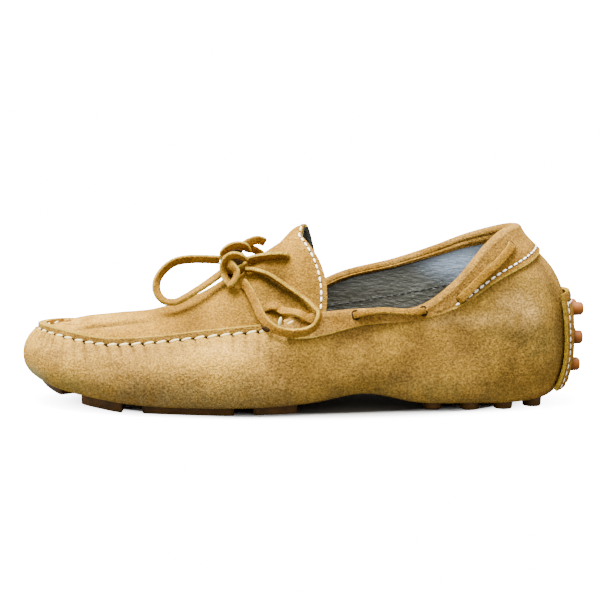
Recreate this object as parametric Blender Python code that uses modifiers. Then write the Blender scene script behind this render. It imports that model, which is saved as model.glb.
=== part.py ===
# Driving moccasin, left shoe: hull, apron with tongue, collar band, rubber soles with pads, lace.
# X runs from toe to heel, -Y is the outer side of the foot, +Z is up. Lengths are metres.
import math
from collections import namedtuple

import bmesh
import bpy
from mathutils import Vector

# Driving sizes
HULL_LENGTH = 0.2717
BALL_WIDTH = 0.095
VAMP_HEIGHT = 0.040
COLLAR_HEIGHT = 0.0885
TONGUE_HEIGHT = 0.0835
TOE_SPRING = 0.0093
ARCH_HEIGHT = 0.0095
LUG_HEIGHT = 0.0035

# Thickness of each layer, and the space between two layers
UPPER_WALL = 0.0018
APRON_WALL = 0.0018
BAND_WALL = 0.0015
TAB_WALL = 0.0020
STRIP_WALL = 0.0010
PLATE_WALL = 0.0015
INSOLE_WALL = 0.0025
CLEARANCE = 0.0003

# Seam ridge, collar band, lace, pads and studs
RIDGE_HEIGHT = 0.0030
BAND_EDGE = 0.0010
BAND_INSIDE = 0.0070
LACE_WIDTH = 0.0040
LACE_WALL = 0.0016
NUB_RADIUS = 0.0045
HEEL_NUB_RADIUS = 0.0049
STUD_RADIUS = 0.0037
STUD_PROUD = 0.0027

# Sides of a round pad
NUB_SIDES = 8

HALF_BALL = BALL_WIDTH / 2
BAND_RADIUS = UPPER_WALL / 2 + CLEARANCE + BAND_WALL
EDGE_HEIGHT = COLLAR_HEIGHT - BAND_RADIUS
TAB_OUT = CLEARANCE + STRIP_WALL + CLEARANCE + TAB_WALL
SEAM_INSET = UPPER_WALL + CLEARANCE + APRON_WALL
TONGUE_INSET = SEAM_INSET + CLEARANCE * 2 + BAND_WALL

# Everything is placed from the toe, so that the middle of the shoe's length is at x = 0.
FRONT = -(HULL_LENGTH + TAB_OUT + STUD_PROUD) / 2

# One section of the hull. The first three columns place its widest line, the next four the
# line where the flat bottom ends, and the next four its top edge. Along is a share of
# HULL_LENGTH, across of half BALL_WIDTH and up of VAMP_HEIGHT, all in percent. Spring and
# arch are shares of TOE_SPRING and ARCH_HEIGHT, seam of VAMP_HEIGHT, rise of the height from
# the vamp to the collar. Band is how far the collar band hangs below the edge, of VAMP_HEIGHT.
Section = namedtuple(
    "Section",
    "wide_along wide_across wide_up foot_along foot_across spring arch "
    "edge_along edge_across seam rise band")

TOE = Section(0.0, 12.6, 60, 4.2, 10.5, 100, 0, 2.8, 11.6, 90.0, 0.0, 5)
HEEL = Section(100.0, 2.1, 75, 96.1, 1.0, 5, 0, 90.7, 1.0, 100, 100, 25)

OUTER_SIDE = [
    Section(2.2, -30.0, 56, 5.9, -18.5, 85, 0, 4.2, -11.6, 90.5, 0.0, 5),
    Section(7.6, -60.0, 50, 10.1, -42.0, 53, 0, 7.9, -32.6, 87.5, 0.0, 5),
    Section(17.5, -83.5, 44, 18.8, -63.0, 16, 0, 16.2, -56.8, 80.8, 0.0, 5),
    Section(26.5, -93.7, 41, 26.9, -73.7, 1, 0, 25.0, -66.3, 83.8, 0.0, 5),
    Section(36.1, -100.0, 40, 36.1, -80.0, 0, 0, 35.3, -68.0, 91.8, 0.0, 5),
    Section(44.9, -95.8, 41, 44.5, -76.8, 0, 0, 44.9, -68.0, 98.8, 0.0, 8),
    Section(53.7, -85.3, 45, 53.4, -65.0, 0, 16, 52.3, -73.3, 100, 9.5, 19),
    Section(62.6, -76.8, 50, 62.6, -54.7, 0, 55, 61.8, -71.6, 100, 14.9, 11),
    Section(71.4, -71.6, 55, 71.8, -53.7, 0, 7, 71.0, -68.4, 100, 15.4, 6),
    Section(79.5, -69.0, 60, 79.5, -52.6, 0, 0, 77.7, -65.3, 100, 40.0, 19),
    Section(87.6, -65.9, 65, 86.9, -50.5, 0, 0, 83.2, -56.8, 100, 75.8, 30),
    Section(95.0, -51.6, 70, 92.4, -35.8, 2, 0, 86.9, -40.0, 100, 93.4, 33),
    Section(98.8, -26.3, 74, 95.1, -17.9, 5, 0, 89.6, -20.0, 100, 99.0, 29),
]

INNER_SIDE = [
    Section(1.7, 39.0, 56, 5.9, 31.0, 85, 0, 3.9, 30.5, 90.5, 0.0, 5),
    Section(5.9, 64.5, 50, 9.9, 51.5, 53, 0, 7.0, 47.4, 89.5, 0.0, 5),
    Section(15.5, 88.4, 44, 17.7, 67.4, 16, 0, 14.7, 66.3, 86.0, 0.0, 5),
    Section(25.8, 99.2, 41, 26.5, 79.0, 1, 0, 24.3, 72.6, 88.8, 0.0, 5),
    Section(35.3, 98.1, 40, 35.7, 78.0, 0, 0, 34.6, 72.6, 93.8, 0.0, 5),
    Section(44.9, 88.0, 43, 44.9, 67.4, 0, 4, 44.2, 70.7, 100, 0.0, 8),
    Section(53.7, 77.5, 50, 53.7, 52.6, 0, 47, 51.5, 73.3, 100, 17.6, 19),
    Section(62.6, 72.6, 58, 62.6, 41.0, 0, 100, 59.6, 72.2, 100, 40.7, 22),
    Section(71.4, 70.0, 63, 71.8, 42.0, 0, 68, 69.2, 69.5, 100, 55.0, 22),
    Section(79.5, 69.5, 65, 79.5, 49.5, 0, 10, 76.9, 66.3, 100, 70.3, 25),
    Section(87.6, 67.4, 68, 86.9, 50.5, 0, 0, 82.4, 60.0, 100, 83.5, 30),
    Section(95.0, 52.6, 71, 92.4, 35.8, 2, 0, 86.7, 43.2, 100, 93.0, 33),
    Section(98.8, 29.5, 74, 95.1, 19.0, 5, 0, 89.6, 22.0, 100, 98.7, 29),
]

# The sections in one ring: toe, outer side, heel, inner side. A turn counts sections.
RING = [TOE] + OUTER_SIDE + [HEEL] + INNER_SIDE[::-1]
FULL_TURN = len(RING)
HEEL_TURN = FULL_TURN // 2

# Levels on the hull: bottom centre, end of the flat bottom, widest line, seam, top edge
LEVEL_CENTRE, LEVEL_FOOT, LEVEL_WIDE, LEVEL_SEAM, LEVEL_TOP = range(5)
HULL_LEVELS = [0, 1, 1.333, 1.667, 2, 2.2, 2.45, 2.7, 2.86, 3, 4]

# The bottom's centre line runs between these two sections.
CENTRE_FRONT = 2.4
CENTRE_REAR = 12.0

# The ridge dies out between these sections, and the collar band starts behind it.
RIDGE_FADE = 5.9
RIDGE_END = 6.5
BAND_START = 6.5
BAND_GROWTH = 1.0
FOLD_SHARE = 0.8

# One section of the apron and tongue: its crest, as shares of HULL_LENGTH and TONGUE_HEIGHT
# in percent, the power by which it falls to the sides, and how far it leans back.
ApronSection = namedtuple("ApronSection", "crest_along crest_up fall lean")

APRON = [
    ApronSection(8.8, 47.0, 1.9, 0),
    ApronSection(8.8, 47.0, 1.9, 0),
    ApronSection(12.5, 50.6, 1.9, 0),
    ApronSection(18.4, 52.8, 2.0, 0),
    ApronSection(25.0, 55.4, 2.0, 0.2),
    ApronSection(33.1, 65.0, 1.9, 0.6),
    ApronSection(41.2, 81.7, 1.7, 1),
    ApronSection(47.8, 95.1, 1.6, 1.5),
    ApronSection(51.3, 100.0, 1.55, 1.9),
]
APRON_END = len(APRON) - 1

# From here the apron leaves the seam and runs on inside the collar as the tongue.
TONGUE_START = 6
TONGUE_PACE = 0.67
TONGUE_SINK = 0.0015

# The inner half of the tongue stands higher than the outer one.
LOBE_HEIGHT = 0.0085
LOBE_LEVEL = 0.28
LOBE_WIDTH = 0.22
LOBE_START = 6.3
LOBE_FULL = 7.6

# A pad along the foot edge: sections where it starts and ends, the share of the bottom's
# half width that it takes, and its height as a share of LUG_HEIGHT.
EdgePad = namedtuple("EdgePad", "start end inner outer height")

EDGE_PADS = [
    EdgePad(0.25, 1.80, 0.58, 1.10, 0.85),
    EdgePad(2.30, 3.15, 0.66, 1.03, 1.35),
    EdgePad(3.60, 5.42, 0.70, 1.0, 1.20),
    EdgePad(5.83, 6.69, 0.68, 1.0, 1.40),
]

# A row of round nubs: section, and shares of the bottom's half width where they stand.
NubRow = namedtuple("NubRow", "section shares height")

FOREFOOT_NUBS = [
    NubRow(2.60, (0.0,), 1.0),
    NubRow(3.10, (0.38,), 1.0),
    NubRow(3.70, (0.0, 0.42), 1.0),
    NubRow(4.30, (0.0, 0.43), 1.0),
    NubRow(4.90, (0.0, 0.43), 1.0),
    NubRow(5.50, (0.0, 0.43), 1.0),
    NubRow(6.10, (0.0, 0.42), 1.1),
]
HEEL_NUBS = [
    NubRow(9.36, (0.28, 0.82), 1.0),
    NubRow(10.25, (0.28, 0.82), 1.0),
    NubRow(11.08, (0.28, 0.80), 1.0),
    NubRow(12.20, (0.80,), 1.2),
]
FOREFOOT_PLATE = 7
HEEL_PLATE = 9
PLATE_SHARE = 0.97

# The heel studs stand in pairs: heights as shares of VAMP_HEIGHT, and how far each reaches.
Stud = namedtuple("Stud", "up reach")

STUDS = [Stud(1.175, 1.0), Stud(0.825, 1.0), Stud(0.495, 0.6)]
STUD_TURN = 0.55
TAB_TURN = 4 / 3
TAB_LEVELS = [1.42, 1.5, 1.667, 1.833, 2, 2.1, 2.2, 2.27]
STRIP_TURN = 1.0
STRIP_LEVELS = TAB_LEVELS[1:-1]

# Stretches of lace on the outside: section, and row across the apron or the band. The middle
# of a stretch may stand off by a share of LACE_WALL.
BarPoint = namedtuple("BarPoint", "surface section row lift")

LACE_BARS = {
    "front": [
        BarPoint("apron", 6.10, 0.80, 0),
        BarPoint("apron", 6.35, 0.82, 0),
        BarPoint("apron", 6.55, 0.87, 0.5),
        BarPoint("band", 6.74, 1.42, 0.5),
        BarPoint("band", 6.88, 1.18, 0.3),
        BarPoint("band", 7.02, 1.00, 0),
        BarPoint("band", 7.14, 0.70, 0),
    ],
    "side": [
        BarPoint("band", 7.90, 0.75, 0),
        BarPoint("band", 8.10, 1.08, 0.4),
        BarPoint("band", 8.35, 1.20, 0.8),
        BarPoint("band", 8.65, 1.18, 0.8),
        BarPoint("band", 8.95, 1.05, 0.4),
        BarPoint("band", 9.20, 0.75, 0),
    ],
    "heel": [
        BarPoint("band", 10.10, 0.31, 0.25),
        BarPoint("band", 10.65, 0.38, 0.25),
        BarPoint("band", 11.20, 0.43, 0.25),
        BarPoint("band", 11.60, 0.50, 0.3),
        BarPoint("band", 11.95, 0.57, 0.3),
    ],
}

# The bow, as points along each length of lace, in millimetres
CORD_ROUTES = {
    "lace_loop_toe": [
        (-39.5, -2.5, 70.8), (-46, -3, 71.1), (-54, -4, 71.2), (-60.5, -5, 70.2),
        (-65.3, -7, 67.4), (-68.9, -9, 63.1), (-70, -11.5, 58.9), (-68.8, -13.5, 54.7),
        (-65.7, -14.5, 51.8), (-62, -14.5, 51.1), (-58.5, -14, 51.9), (-50.4, -12, 56.5),
        (-45, -10, 60), (-40.2, -8.5, 63.4),
    ],
    "lace_loop_heel": [
        (-26.4, -10, 66.6), (-22.1, -10.7, 66.3), (-15.8, -14.2, 64.8), (-9.7, -18.4, 61.6),
        (-3.4, -23, 57.8), (2.9, -28, 53.9), (7.1, -34.5, 50.9), (8.7, -40.6, 48.3),
        (7, -42.7, 43.4), (2.8, -42.8, 40.8), (-3.2, -42.2, 39.8), (-9.4, -39.5, 40.5),
        (-14.1, -36.5, 42.4), (-18, -31.5, 46.1), (-21, -25, 51.4), (-24.2, -18.5, 56.8),
        (-27.5, -13.5, 60.6),
    ],
    "lace_end_near": [
        (-26.8, -5.6, 70.4), (-20.6, -5, 71.9), (-14.8, -8, 73.1), (-9.8, -10.4, 73.7),
        (-5.6, -12.6, 73.4),
    ],
    "lace_end_far": [
        (-32, -1.6, 75.2), (-28.6, 1.6, 77), (-25.1, 4, 79), (-21.2, 6, 80), (-17.7, 8, 78.8),
    ],
}
CORD_RADIUS = 0.0019
CORD_STEP = 0.0085
KNOT_CENTRE = (-33.4, -4.0, 69.2)
KNOT_SIZE = (5.2, 4.9, 5.6)

SUEDE = (0.42, 0.27, 0.12)
LACE = (0.50, 0.37, 0.14)
RUBBER = (0.36, 0.13, 0.05)
LINING = (0.30, 0.34, 0.38)


def hermite(before, start, end, after, share):
    # Cubic through start and end, with slopes from their neighbours
    square = share * share
    cube = square * share
    slope_start = (end - before) * 0.5
    slope_end = (after - start) * 0.5
    return (start * (2 * cube - 3 * square + 1) + slope_start * (cube - 2 * square + share)
            + end * (3 * square - 2 * cube) + slope_end * (cube - square))


def smooth(share):
    share = min(max(share, 0.0), 1.0)
    return share * share * (3 - 2 * share)


def spread(start, end, steps):
    return [start + (end - start) * step / steps for step in range(steps + 1)]


def turns_between(start, end):
    # Three columns a section round the toe and the heel, two along the sides
    turns = []
    for section in range(math.floor(start), math.ceil(end)):
        near_end = min(side_turn(section), side_turn(section + 1))
        steps = 3 if near_end < 3 or near_end >= 12 else 2
        turns += [section + step / steps for step in range(steps)]
    return [turn for turn in turns if start <= turn < end] + [end]


def ring_section(turn):
    first = math.floor(turn)
    rows = [RING[(first + step) % FULL_TURN] for step in (-1, 0, 1, 2)]
    return Section(*[hermite(*values, turn - first) for values in zip(*rows)])


def place(along, across, height):
    return Vector((FRONT + along / 100 * HULL_LENGTH, across / 100 * HALF_BALL, height))


def foot_point(section):
    lift = max(0.0, section.spring) * TOE_SPRING + max(0.0, section.arch) * ARCH_HEIGHT
    return place(section.foot_along, section.foot_across, LUG_HEIGHT + lift / 100)


def wide_point(section):
    return place(section.wide_along, section.wide_across, section.wide_up / 100 * VAMP_HEIGHT)


def edge_point(section):
    height = section.seam * VAMP_HEIGHT + section.rise * (EDGE_HEIGHT - VAMP_HEIGHT)
    return place(section.edge_along, section.edge_across, height / 100)


def side_turn(turn):
    # The same place counted from the toe, on either side
    return min(turn % FULL_TURN, FULL_TURN - turn % FULL_TURN)


def centre_point(turn):
    index = min(max(side_turn(turn), CENTRE_FRONT), CENTRE_REAR)
    outer = foot_point(ring_section(index))
    inner = foot_point(ring_section(FULL_TURN - index))
    return (outer + inner) / 2


def bezier(start, handle_a, handle_b, end, share):
    rest = 1 - share
    return (start * rest ** 3 + handle_a * 3 * rest ** 2 * share
            + handle_b * 3 * rest * share ** 2 + end * share ** 3)


def flat(vector):
    return Vector((vector.x, vector.y, 0))


def rear_share(turn):
    # 0 along the apron seam, 1 along the collar
    return smooth((side_turn(turn) - RIDGE_FADE) / (RIDGE_END - RIDGE_FADE))


def hull_skin(turn, level):
    section = ring_section(turn)
    foot = foot_point(section)
    if level <= LEVEL_FOOT:
        return centre_point(turn).lerp(foot, level)
    wide = wide_point(section)
    if level <= LEVEL_WIDE:
        outward = foot - centre_point(turn)
        reach = flat(wide - foot).length
        handle_a = foot + outward * (0.6 * reach / flat(outward).length)
        handle_b = wide - Vector((0, 0, 0.55 * (wide.z - foot.z)))
        return bezier(foot, handle_a, handle_b, wide, level - LEVEL_FOOT)
    edge = edge_point(section)
    height = edge.z - wide.z
    steep = section.rise / 100
    handle_a = wide + Vector((0, 0, (0.60 + 0.15 * steep) * height))
    handle_b = edge + flat(wide - edge) * 0.42 - Vector((0, 0, (0.20 + 0.08 * steep) * height))
    if level <= LEVEL_SEAM:
        return bezier(wide, handle_a, handle_b, edge, level - LEVEL_WIDE)
    rear = rear_share(turn)
    lip = (edge - handle_b).normalized().lerp(Vector((0, 0, 1)), 1 - rear).normalized()
    reach = RIDGE_HEIGHT + (BAND_EDGE - RIDGE_HEIGHT) * rear
    return edge + lip * (reach * (level - LEVEL_SEAM))


def hull_normal(turn, level):
    step = 0.02
    around = hull_skin(turn + step, level) - hull_skin(turn - step, level)
    upward = hull_skin(turn, min(level + step, LEVEL_TOP)) - hull_skin(turn, level - step)
    return around.cross(upward).normalized()


def hull_point(turn, level, out=0.0):
    # A point of the hull's outer skin, moved out along its normal
    if level < 0.05:
        return hull_skin(turn, level) - Vector((0, 0, out))
    return hull_skin(turn, level) + hull_normal(turn, level) * out


def inset_edge(turn, level, inset):
    # A point of the seam or the top edge, moved level towards the middle of the shoe
    step = 0.02
    around = hull_skin(turn + step, level) - hull_skin(turn - step, level)
    outward = flat(around).cross(Vector((0, 0, 1))).normalized()
    return hull_skin(turn, level) - outward * inset


def level_at_height(turn, height, low, high):
    # The level on one section that has this height, by halving
    for _ in range(20):
        middle = (low + high) / 2
        if hull_skin(turn, middle).z < height:
            low = middle
        else:
            high = middle
    return (low + high) / 2


def apron_crest(index):
    first = min(int(index), APRON_END - 1)
    rows = [APRON[min(max(first + step, 0), APRON_END)] for step in (-1, 0, 1, 2)]
    return ApronSection(*[hermite(*values, index - first) for values in zip(*rows)])


def apron_side(turn, level):
    # Beside the hull's ridge in front, and inside the collar band behind
    index = abs(turn)
    if index <= TONGUE_START:
        return inset_edge(turn, level, SEAM_INSET)
    tongue = smooth((index - TONGUE_START) / 0.6)
    pace = TONGUE_START + (index - TONGUE_START) * TONGUE_PACE
    side = math.copysign(pace, turn)
    base = inset_edge(side, LEVEL_SEAM, SEAM_INSET + (TONGUE_INSET - SEAM_INSET) * tongue)
    base.z += (RIDGE_HEIGHT * (1 - tongue) + BAND_EDGE * tongue) * (level - LEVEL_SEAM)
    base.z -= TONGUE_SINK * tongue
    return base


def tongue_lobe(turn, level):
    # How far the tongue's inner half stands above the plain curve
    if turn >= 0 or level >= 1:
        return 0.0
    grown = smooth((abs(turn) - LOBE_START) / (LOBE_FULL - LOBE_START))
    hump = math.exp(-((level - LOBE_LEVEL) / LOBE_WIDTH) ** 2)
    return LOBE_HEIGHT * grown * hump * smooth(level / 0.2) * smooth((1 - level) / 0.3)


def apron_skin(turn, level):
    # Level 0 is the crest, 1 the seam and 2 the top of the turned-up edge.
    if level > 1:
        return apron_side(turn, LEVEL_SEAM + level - 1)
    row = apron_crest(abs(turn))
    side = apron_side(turn, LEVEL_SEAM)
    crest = place(row.crest_along, 0, row.crest_up / 100 * TONGUE_HEIGHT)
    crest.y = (apron_side(abs(turn), LEVEL_SEAM).y + apron_side(-abs(turn), LEVEL_SEAM).y) / 2
    rounded = level * level * 1.15 / (level + 0.15)
    curled = math.sin(0.55 * math.pi * rounded) / math.sin(0.55 * math.pi)
    pace = level + (curled - level) * row.lean
    return Vector((
        crest.x + (side.x - crest.x) * pace,
        crest.y + (side.y - crest.y) * level,
        crest.z + (side.z - crest.z) * level ** row.fall + tongue_lobe(turn, level)))


def drape(columns, rows, point):
    # A grid laid over a surface: each column and row value gives one point
    grid = bmesh.new()
    bmesh.ops.create_grid(grid, x_segments=len(columns) - 1, y_segments=len(rows) - 1, size=1)
    for vertex in grid.verts:
        column = columns[round((vertex.co.x + 1) / 2 * (len(columns) - 1))]
        row = rows[round((vertex.co.y + 1) / 2 * (len(rows) - 1))]
        vertex.co = point(column, row)
    bmesh.ops.remove_doubles(grid, verts=grid.verts, dist=1e-6)
    return grid


def new_object(name, grid, collection, material=None):
    mesh = bpy.data.meshes.new(name)
    grid.to_mesh(mesh)
    grid.free()
    made = bpy.data.objects.new(name, mesh)
    collection.objects.link(made)
    if material:
        mesh.materials.append(material)
        mesh.shade_smooth()
        mesh.set_sharp_from_angle(angle=math.radians(40))
    return made


def add_wall(made, thickness):
    # The wall lies behind the surface's outer side.
    wall = made.modifiers.new("wall", "SOLIDIFY")
    wall.thickness = thickness
    wall.offset = -1
    wall.use_even_offset = True


def add_boolean(made, other, operation):
    step = made.modifiers.new(other.name, "BOOLEAN")
    step.operation = operation
    step.object = other
    other.hide_render = True
    other.display_type = "WIRE"


def make_material(name, colour, roughness):
    material = bpy.data.materials.new(name)
    material.use_nodes = True
    shader = material.node_tree.nodes["Principled BSDF"]
    shader.inputs["Base Color"].default_value = (*colour, 1)
    shader.inputs["Roughness"].default_value = roughness
    shader.inputs["Metallic"].default_value = 0
    return material


def make_upper(parts, pad_room):
    grid = drape(turns_between(0, FULL_TURN), HULL_LEVELS, hull_point)
    upper = new_object("upper", grid, parts, make_material("upper_suede", SUEDE, 0.95))
    add_wall(upper, UPPER_WALL)
    for room in pad_room:
        add_boolean(upper, room, "DIFFERENCE")


def make_apron(parts):
    grid = drape(turns_between(-APRON_END, APRON_END), spread(0, 1, 5) + [2], apron_skin)
    bmesh.ops.reverse_faces(grid, faces=grid.faces)
    apron = new_object("apron", grid, parts, make_material("apron_suede", SUEDE, 0.95))
    add_wall(apron, APRON_WALL)


def band_level(turn, low_height, share):
    # From the band's free edge at 0, past the seam level at FOLD_SHARE, to the hull's top edge
    if share >= FOLD_SHARE:
        return LEVEL_SEAM + (share - FOLD_SHARE) / (1 - FOLD_SHARE)
    low = level_at_height(turn, low_height, LEVEL_WIDE, LEVEL_SEAM)
    return low + (LEVEL_SEAM - low) * share / FOLD_SHARE


def band_point(turn, row):
    # Row 0 to 1 hangs outside the hull, 1 to 2 folds over its edge, 2 to 3 lies inside.
    section = ring_section(turn)
    grown = smooth((side_turn(turn) - BAND_START + 0.35) / BAND_GROWTH)
    edge = hull_skin(turn, LEVEL_SEAM).z
    if row <= 1:
        hang = section.band / 100 * VAMP_HEIGHT
        return hull_point(turn, band_level(turn, edge - hang, row), CLEARANCE + BAND_WALL)
    if row >= 2:
        inside = UPPER_WALL + CLEARANCE + BAND_WALL
        level = band_level(turn, edge - BAND_INSIDE * grown, 3 - row)
        return hull_point(turn, level, -inside)
    normal = hull_normal(turn, LEVEL_TOP)
    upward = (hull_skin(turn, LEVEL_TOP) - hull_skin(turn, LEVEL_SEAM)).normalized()
    middle = hull_skin(turn, LEVEL_TOP) - normal * (UPPER_WALL / 2)
    angle = math.pi * (row - 1)
    return middle + (normal * math.cos(angle) + upward * math.sin(angle)) * BAND_RADIUS


def make_band(parts):
    rows = spread(0, FOLD_SHARE, 3) + spread(1, 2, 4) + [3 - FOLD_SHARE, 3]
    grid = drape(turns_between(BAND_START, FULL_TURN - BAND_START), rows, band_point)
    band = new_object("collar_band", grid, parts, make_material("band_suede", SUEDE, 0.95))
    add_wall(band, BAND_WALL)


def pad_prism(grid, outline, low, high):
    # A closed block over an outline: low and high give the heights of its two ends
    corners = [grid.verts.new(point) for point in outline]
    face = grid.faces.new(corners)
    raised = bmesh.ops.extrude_face_region(grid, geom=[face])["geom"]
    for vertex in raised:
        if isinstance(vertex, bmesh.types.BMVert):
            vertex.co.z = high(vertex.co)
    for vertex in corners:
        vertex.co.z = low(vertex.co)


def edge_pad_outline(pad, side, grow):
    # Corners cut at 45 degrees, walked once round the pad
    cut = 0.08
    widen = grow / (HALF_BALL * 0.8)
    lengthen = grow / (HULL_LENGTH * 0.09)
    start, end = pad.start - lengthen, pad.end + lengthen
    inner, outer = pad.inner - widen, pad.outer + widen
    steps = max(2, round((end - start) * 3))
    far = [(turn, outer) for turn in spread(start + cut, end - cut, steps)]
    near = [(turn, inner) for turn in spread(end - cut, start + cut, steps)]
    ends = [(end, outer - 0.04), (end, inner + 0.04)]
    starts = [(start, inner + 0.04), (start, outer - 0.04)]
    return [hull_skin(side * turn, share) if share <= 1 else
            hull_skin(side * turn, 1) + (hull_skin(side * turn, 1) - centre_point(turn)) * (share - 1)
            for turn, share in far + ends + near + starts]


def add_edge_pads(grid, grow, below, above):
    for pad in EDGE_PADS:
        for side in (1, -1):
            outline = edge_pad_outline(pad, side, grow)
            heights = {tuple(round(value, 5) for value in point.xy): point.z for point in outline}

            def skin_height(point):
                return heights[tuple(round(value, 5) for value in point.xy)]

            pad_prism(
                grid, outline,
                lambda point: max(0.0, skin_height(point) - pad.height * LUG_HEIGHT) - below,
                lambda point: skin_height(point) + above)


def add_nubs(grid, rows, radius, grow, below, above):
    for row in rows:
        for share in row.shares:
            for side in ((1, -1) if share else (1,)):
                skin = hull_skin(side * row.section, share)
                low = max(0.0, skin.z - row.height * LUG_HEIGHT) - below
                normal = hull_normal(side * row.section, max(share, 0.1))
                cone = bmesh.ops.create_cone(
                    grid, cap_ends=True, segments=NUB_SIDES, depth=2,
                    radius1=radius * 0.9 + grow, radius2=radius + grow)
                for corner in cone["verts"]:
                    slope = (normal.x * corner.co.x + normal.y * corner.co.y) / normal.z
                    height = skin.z + above - slope if corner.co.z > 0 else low
                    corner.co = (skin.x + corner.co.x, skin.y + corner.co.y, height)


def make_sole(name, turns, nubs, radius, pads, parts, cutters, material):
    # A rubber plate inside the hull, with its pads through the hull's bottom
    plate = drape(
        turns, [0, PLATE_SHARE],
        lambda turn, level: hull_point(turn, level, -(UPPER_WALL + CLEARANCE)))
    sole = new_object(name, plate, parts, material)
    add_wall(sole, PLATE_WALL)
    rooms = []
    seat = UPPER_WALL + CLEARANCE + PLATE_WALL / 2
    for use, grow, below, above in (("lugs", 0, 0, seat), ("room", CLEARANCE, 0.002, seat)):
        grid = bmesh.new()
        if pads:
            add_edge_pads(grid, grow, below, above)
        add_nubs(grid, nubs, radius, grow, below, above)
        bmesh.ops.recalc_face_normals(grid, faces=grid.faces)
        rooms.append(new_object(name + "_" + use, grid, cutters))
    add_boolean(sole, rooms[0], "UNION")
    rooms[1].hide_render = True
    return rooms[1]


def make_insole(parts):
    depth = UPPER_WALL + PLATE_WALL + 2 * CLEARANCE
    grid = drape(
        turns_between(0, FULL_TURN), [0, PLATE_SHARE, 1.1],
        lambda turn, level: hull_point(turn, level, -depth))
    insole = new_object("insole", grid, parts, make_material("insole_leather", LINING, 0.6))
    add_wall(insole, INSOLE_WALL)


def make_heel_tab(parts, cutters):
    rubber = make_material("stud_rubber", RUBBER, 0.55)
    tab_turns = spread(HEEL_TURN - TAB_TURN, HEEL_TURN + TAB_TURN, 8)
    grid = drape(tab_turns, TAB_LEVELS, lambda turn, level: hull_point(turn, level, TAB_OUT))
    tab = new_object("heel_tab", grid, parts, make_material("tab_suede", SUEDE, 0.95))
    add_wall(tab, TAB_WALL)
    strip_turns = spread(HEEL_TURN - STRIP_TURN, HEEL_TURN + STRIP_TURN, 6)
    strip_out = CLEARANCE + STRIP_WALL
    grid = drape(strip_turns, STRIP_LEVELS, lambda turn, level: hull_point(turn, level, strip_out))
    strip = new_object("heel_studs", grid, parts, rubber)
    add_wall(strip, STRIP_WALL)
    grids = {"studs": (bmesh.new(), 0, 0), "stud_room": (bmesh.new(), CLEARANCE, 0.004)}
    for stud in STUDS:
        for side in (1, -1):
            turn = HEEL_TURN + side * STUD_TURN
            level = level_at_height(turn, stud.up * VAMP_HEIGHT, LEVEL_FOOT, LEVEL_SEAM)
            seat = hull_point(turn, level, CLEARANCE + STRIP_WALL / 2)
            tip = FRONT + HULL_LENGTH + TAB_OUT + STUD_PROUD * stud.reach
            for grid, grow, beyond in grids.values():
                cone = bmesh.ops.create_cone(
                    grid, cap_ends=True, segments=NUB_SIDES, depth=tip + beyond - seat.x,
                    radius1=STUD_RADIUS + grow, radius2=STUD_RADIUS * 0.86 + grow)
                bmesh.ops.rotate(
                    grid, verts=cone["verts"], matrix=Vector((0, 0, 1)).rotation_difference(
                        Vector((1, 0, 0))).to_matrix())
                middle = Vector(((tip + beyond + seat.x) / 2, seat.y, seat.z))
                bmesh.ops.translate(grid, verts=cone["verts"], vec=middle)
    studs, room = [new_object(name, grid, cutters) for name, (grid, _, _) in grids.items()]
    add_boolean(strip, studs, "UNION")
    add_boolean(tab, room, "DIFFERENCE")


def lifted(surface, turn, row, out):
    # A point off the apron or the band, on the side away from the foot
    step = 0.02
    skin = {"apron": apron_skin, "band": band_point}[surface]
    around = skin(turn + step, row) - skin(turn - step, row)
    upward = skin(turn, row + step) - skin(turn, row - step)
    point = skin(turn, row)
    normal = around.cross(upward).normalized()
    away = point - Vector((point.x, 0, VAMP_HEIGHT / 2))
    if normal.dot(away) < 0:
        normal.negate()
    return point + normal * out, normal


def make_lace_bars(parts, material):
    for place_name, route in LACE_BARS.items():
        for side_name, side in (("outer", 1), ("inner", -1)):
            spots = [
                lifted(spot.surface, side * spot.section, spot.row,
                       CLEARANCE + LACE_WALL * (1 + spot.lift)) for spot in route]

            def bar_point(index, share):
                before = spots[max(index - 1, 0)][0]
                after = spots[min(index + 1, len(spots) - 1)][0]
                point, normal = spots[index]
                across = normal.cross(after - before).normalized()
                return point + across * (share * LACE_WIDTH)

            grid = drape(list(range(len(spots))), [-0.5, 0.5], bar_point)
            bar = new_object(f"lace_bar_{place_name}_{side_name}", grid, parts, material)
            add_wall(bar, LACE_WALL)


def route_point(points, share):
    # A smooth curve through the points: share 0 is the first and 1 the last
    along = share * (len(points) - 1)
    first = min(int(along), len(points) - 2)
    rows = [points[min(max(first + step, 0), len(points) - 1)] for step in (-1, 0, 1, 2)]
    return Vector([hermite(*values, along - first) / 1000 for values in zip(*rows)])


def make_cords(parts, material):
    for name, points in CORD_ROUTES.items():
        fine = [route_point(points, share) for share in spread(0, 1, 100)]
        length = sum((end - start).length for start, end in zip(fine, fine[1:]))
        steps = max(3, round(length / CORD_STEP))
        curve = bpy.data.curves.new(name, "CURVE")
        curve.dimensions = "3D"
        curve.bevel_depth = CORD_RADIUS
        curve.bevel_resolution = 2
        curve.use_fill_caps = True
        curve.materials.append(material)
        spline = curve.splines.new("POLY")
        spline.points.add(steps)
        for spot, share in zip(spline.points, spread(0, 1, steps)):
            spot.co = (*route_point(points, share), 1)
        parts.objects.link(bpy.data.objects.new(name, curve))
    grid = bmesh.new()
    knot = bmesh.ops.create_uvsphere(grid, u_segments=12, v_segments=8, radius=0.001)
    bmesh.ops.scale(grid, verts=knot["verts"], vec=KNOT_SIZE)
    bmesh.ops.translate(grid, verts=knot["verts"], vec=Vector(KNOT_CENTRE) / 1000)
    new_object("lace_knot", grid, parts, material)


def clear_scene():
    for made in list(bpy.data.objects):
        bpy.data.objects.remove(made, do_unlink=True)


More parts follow.
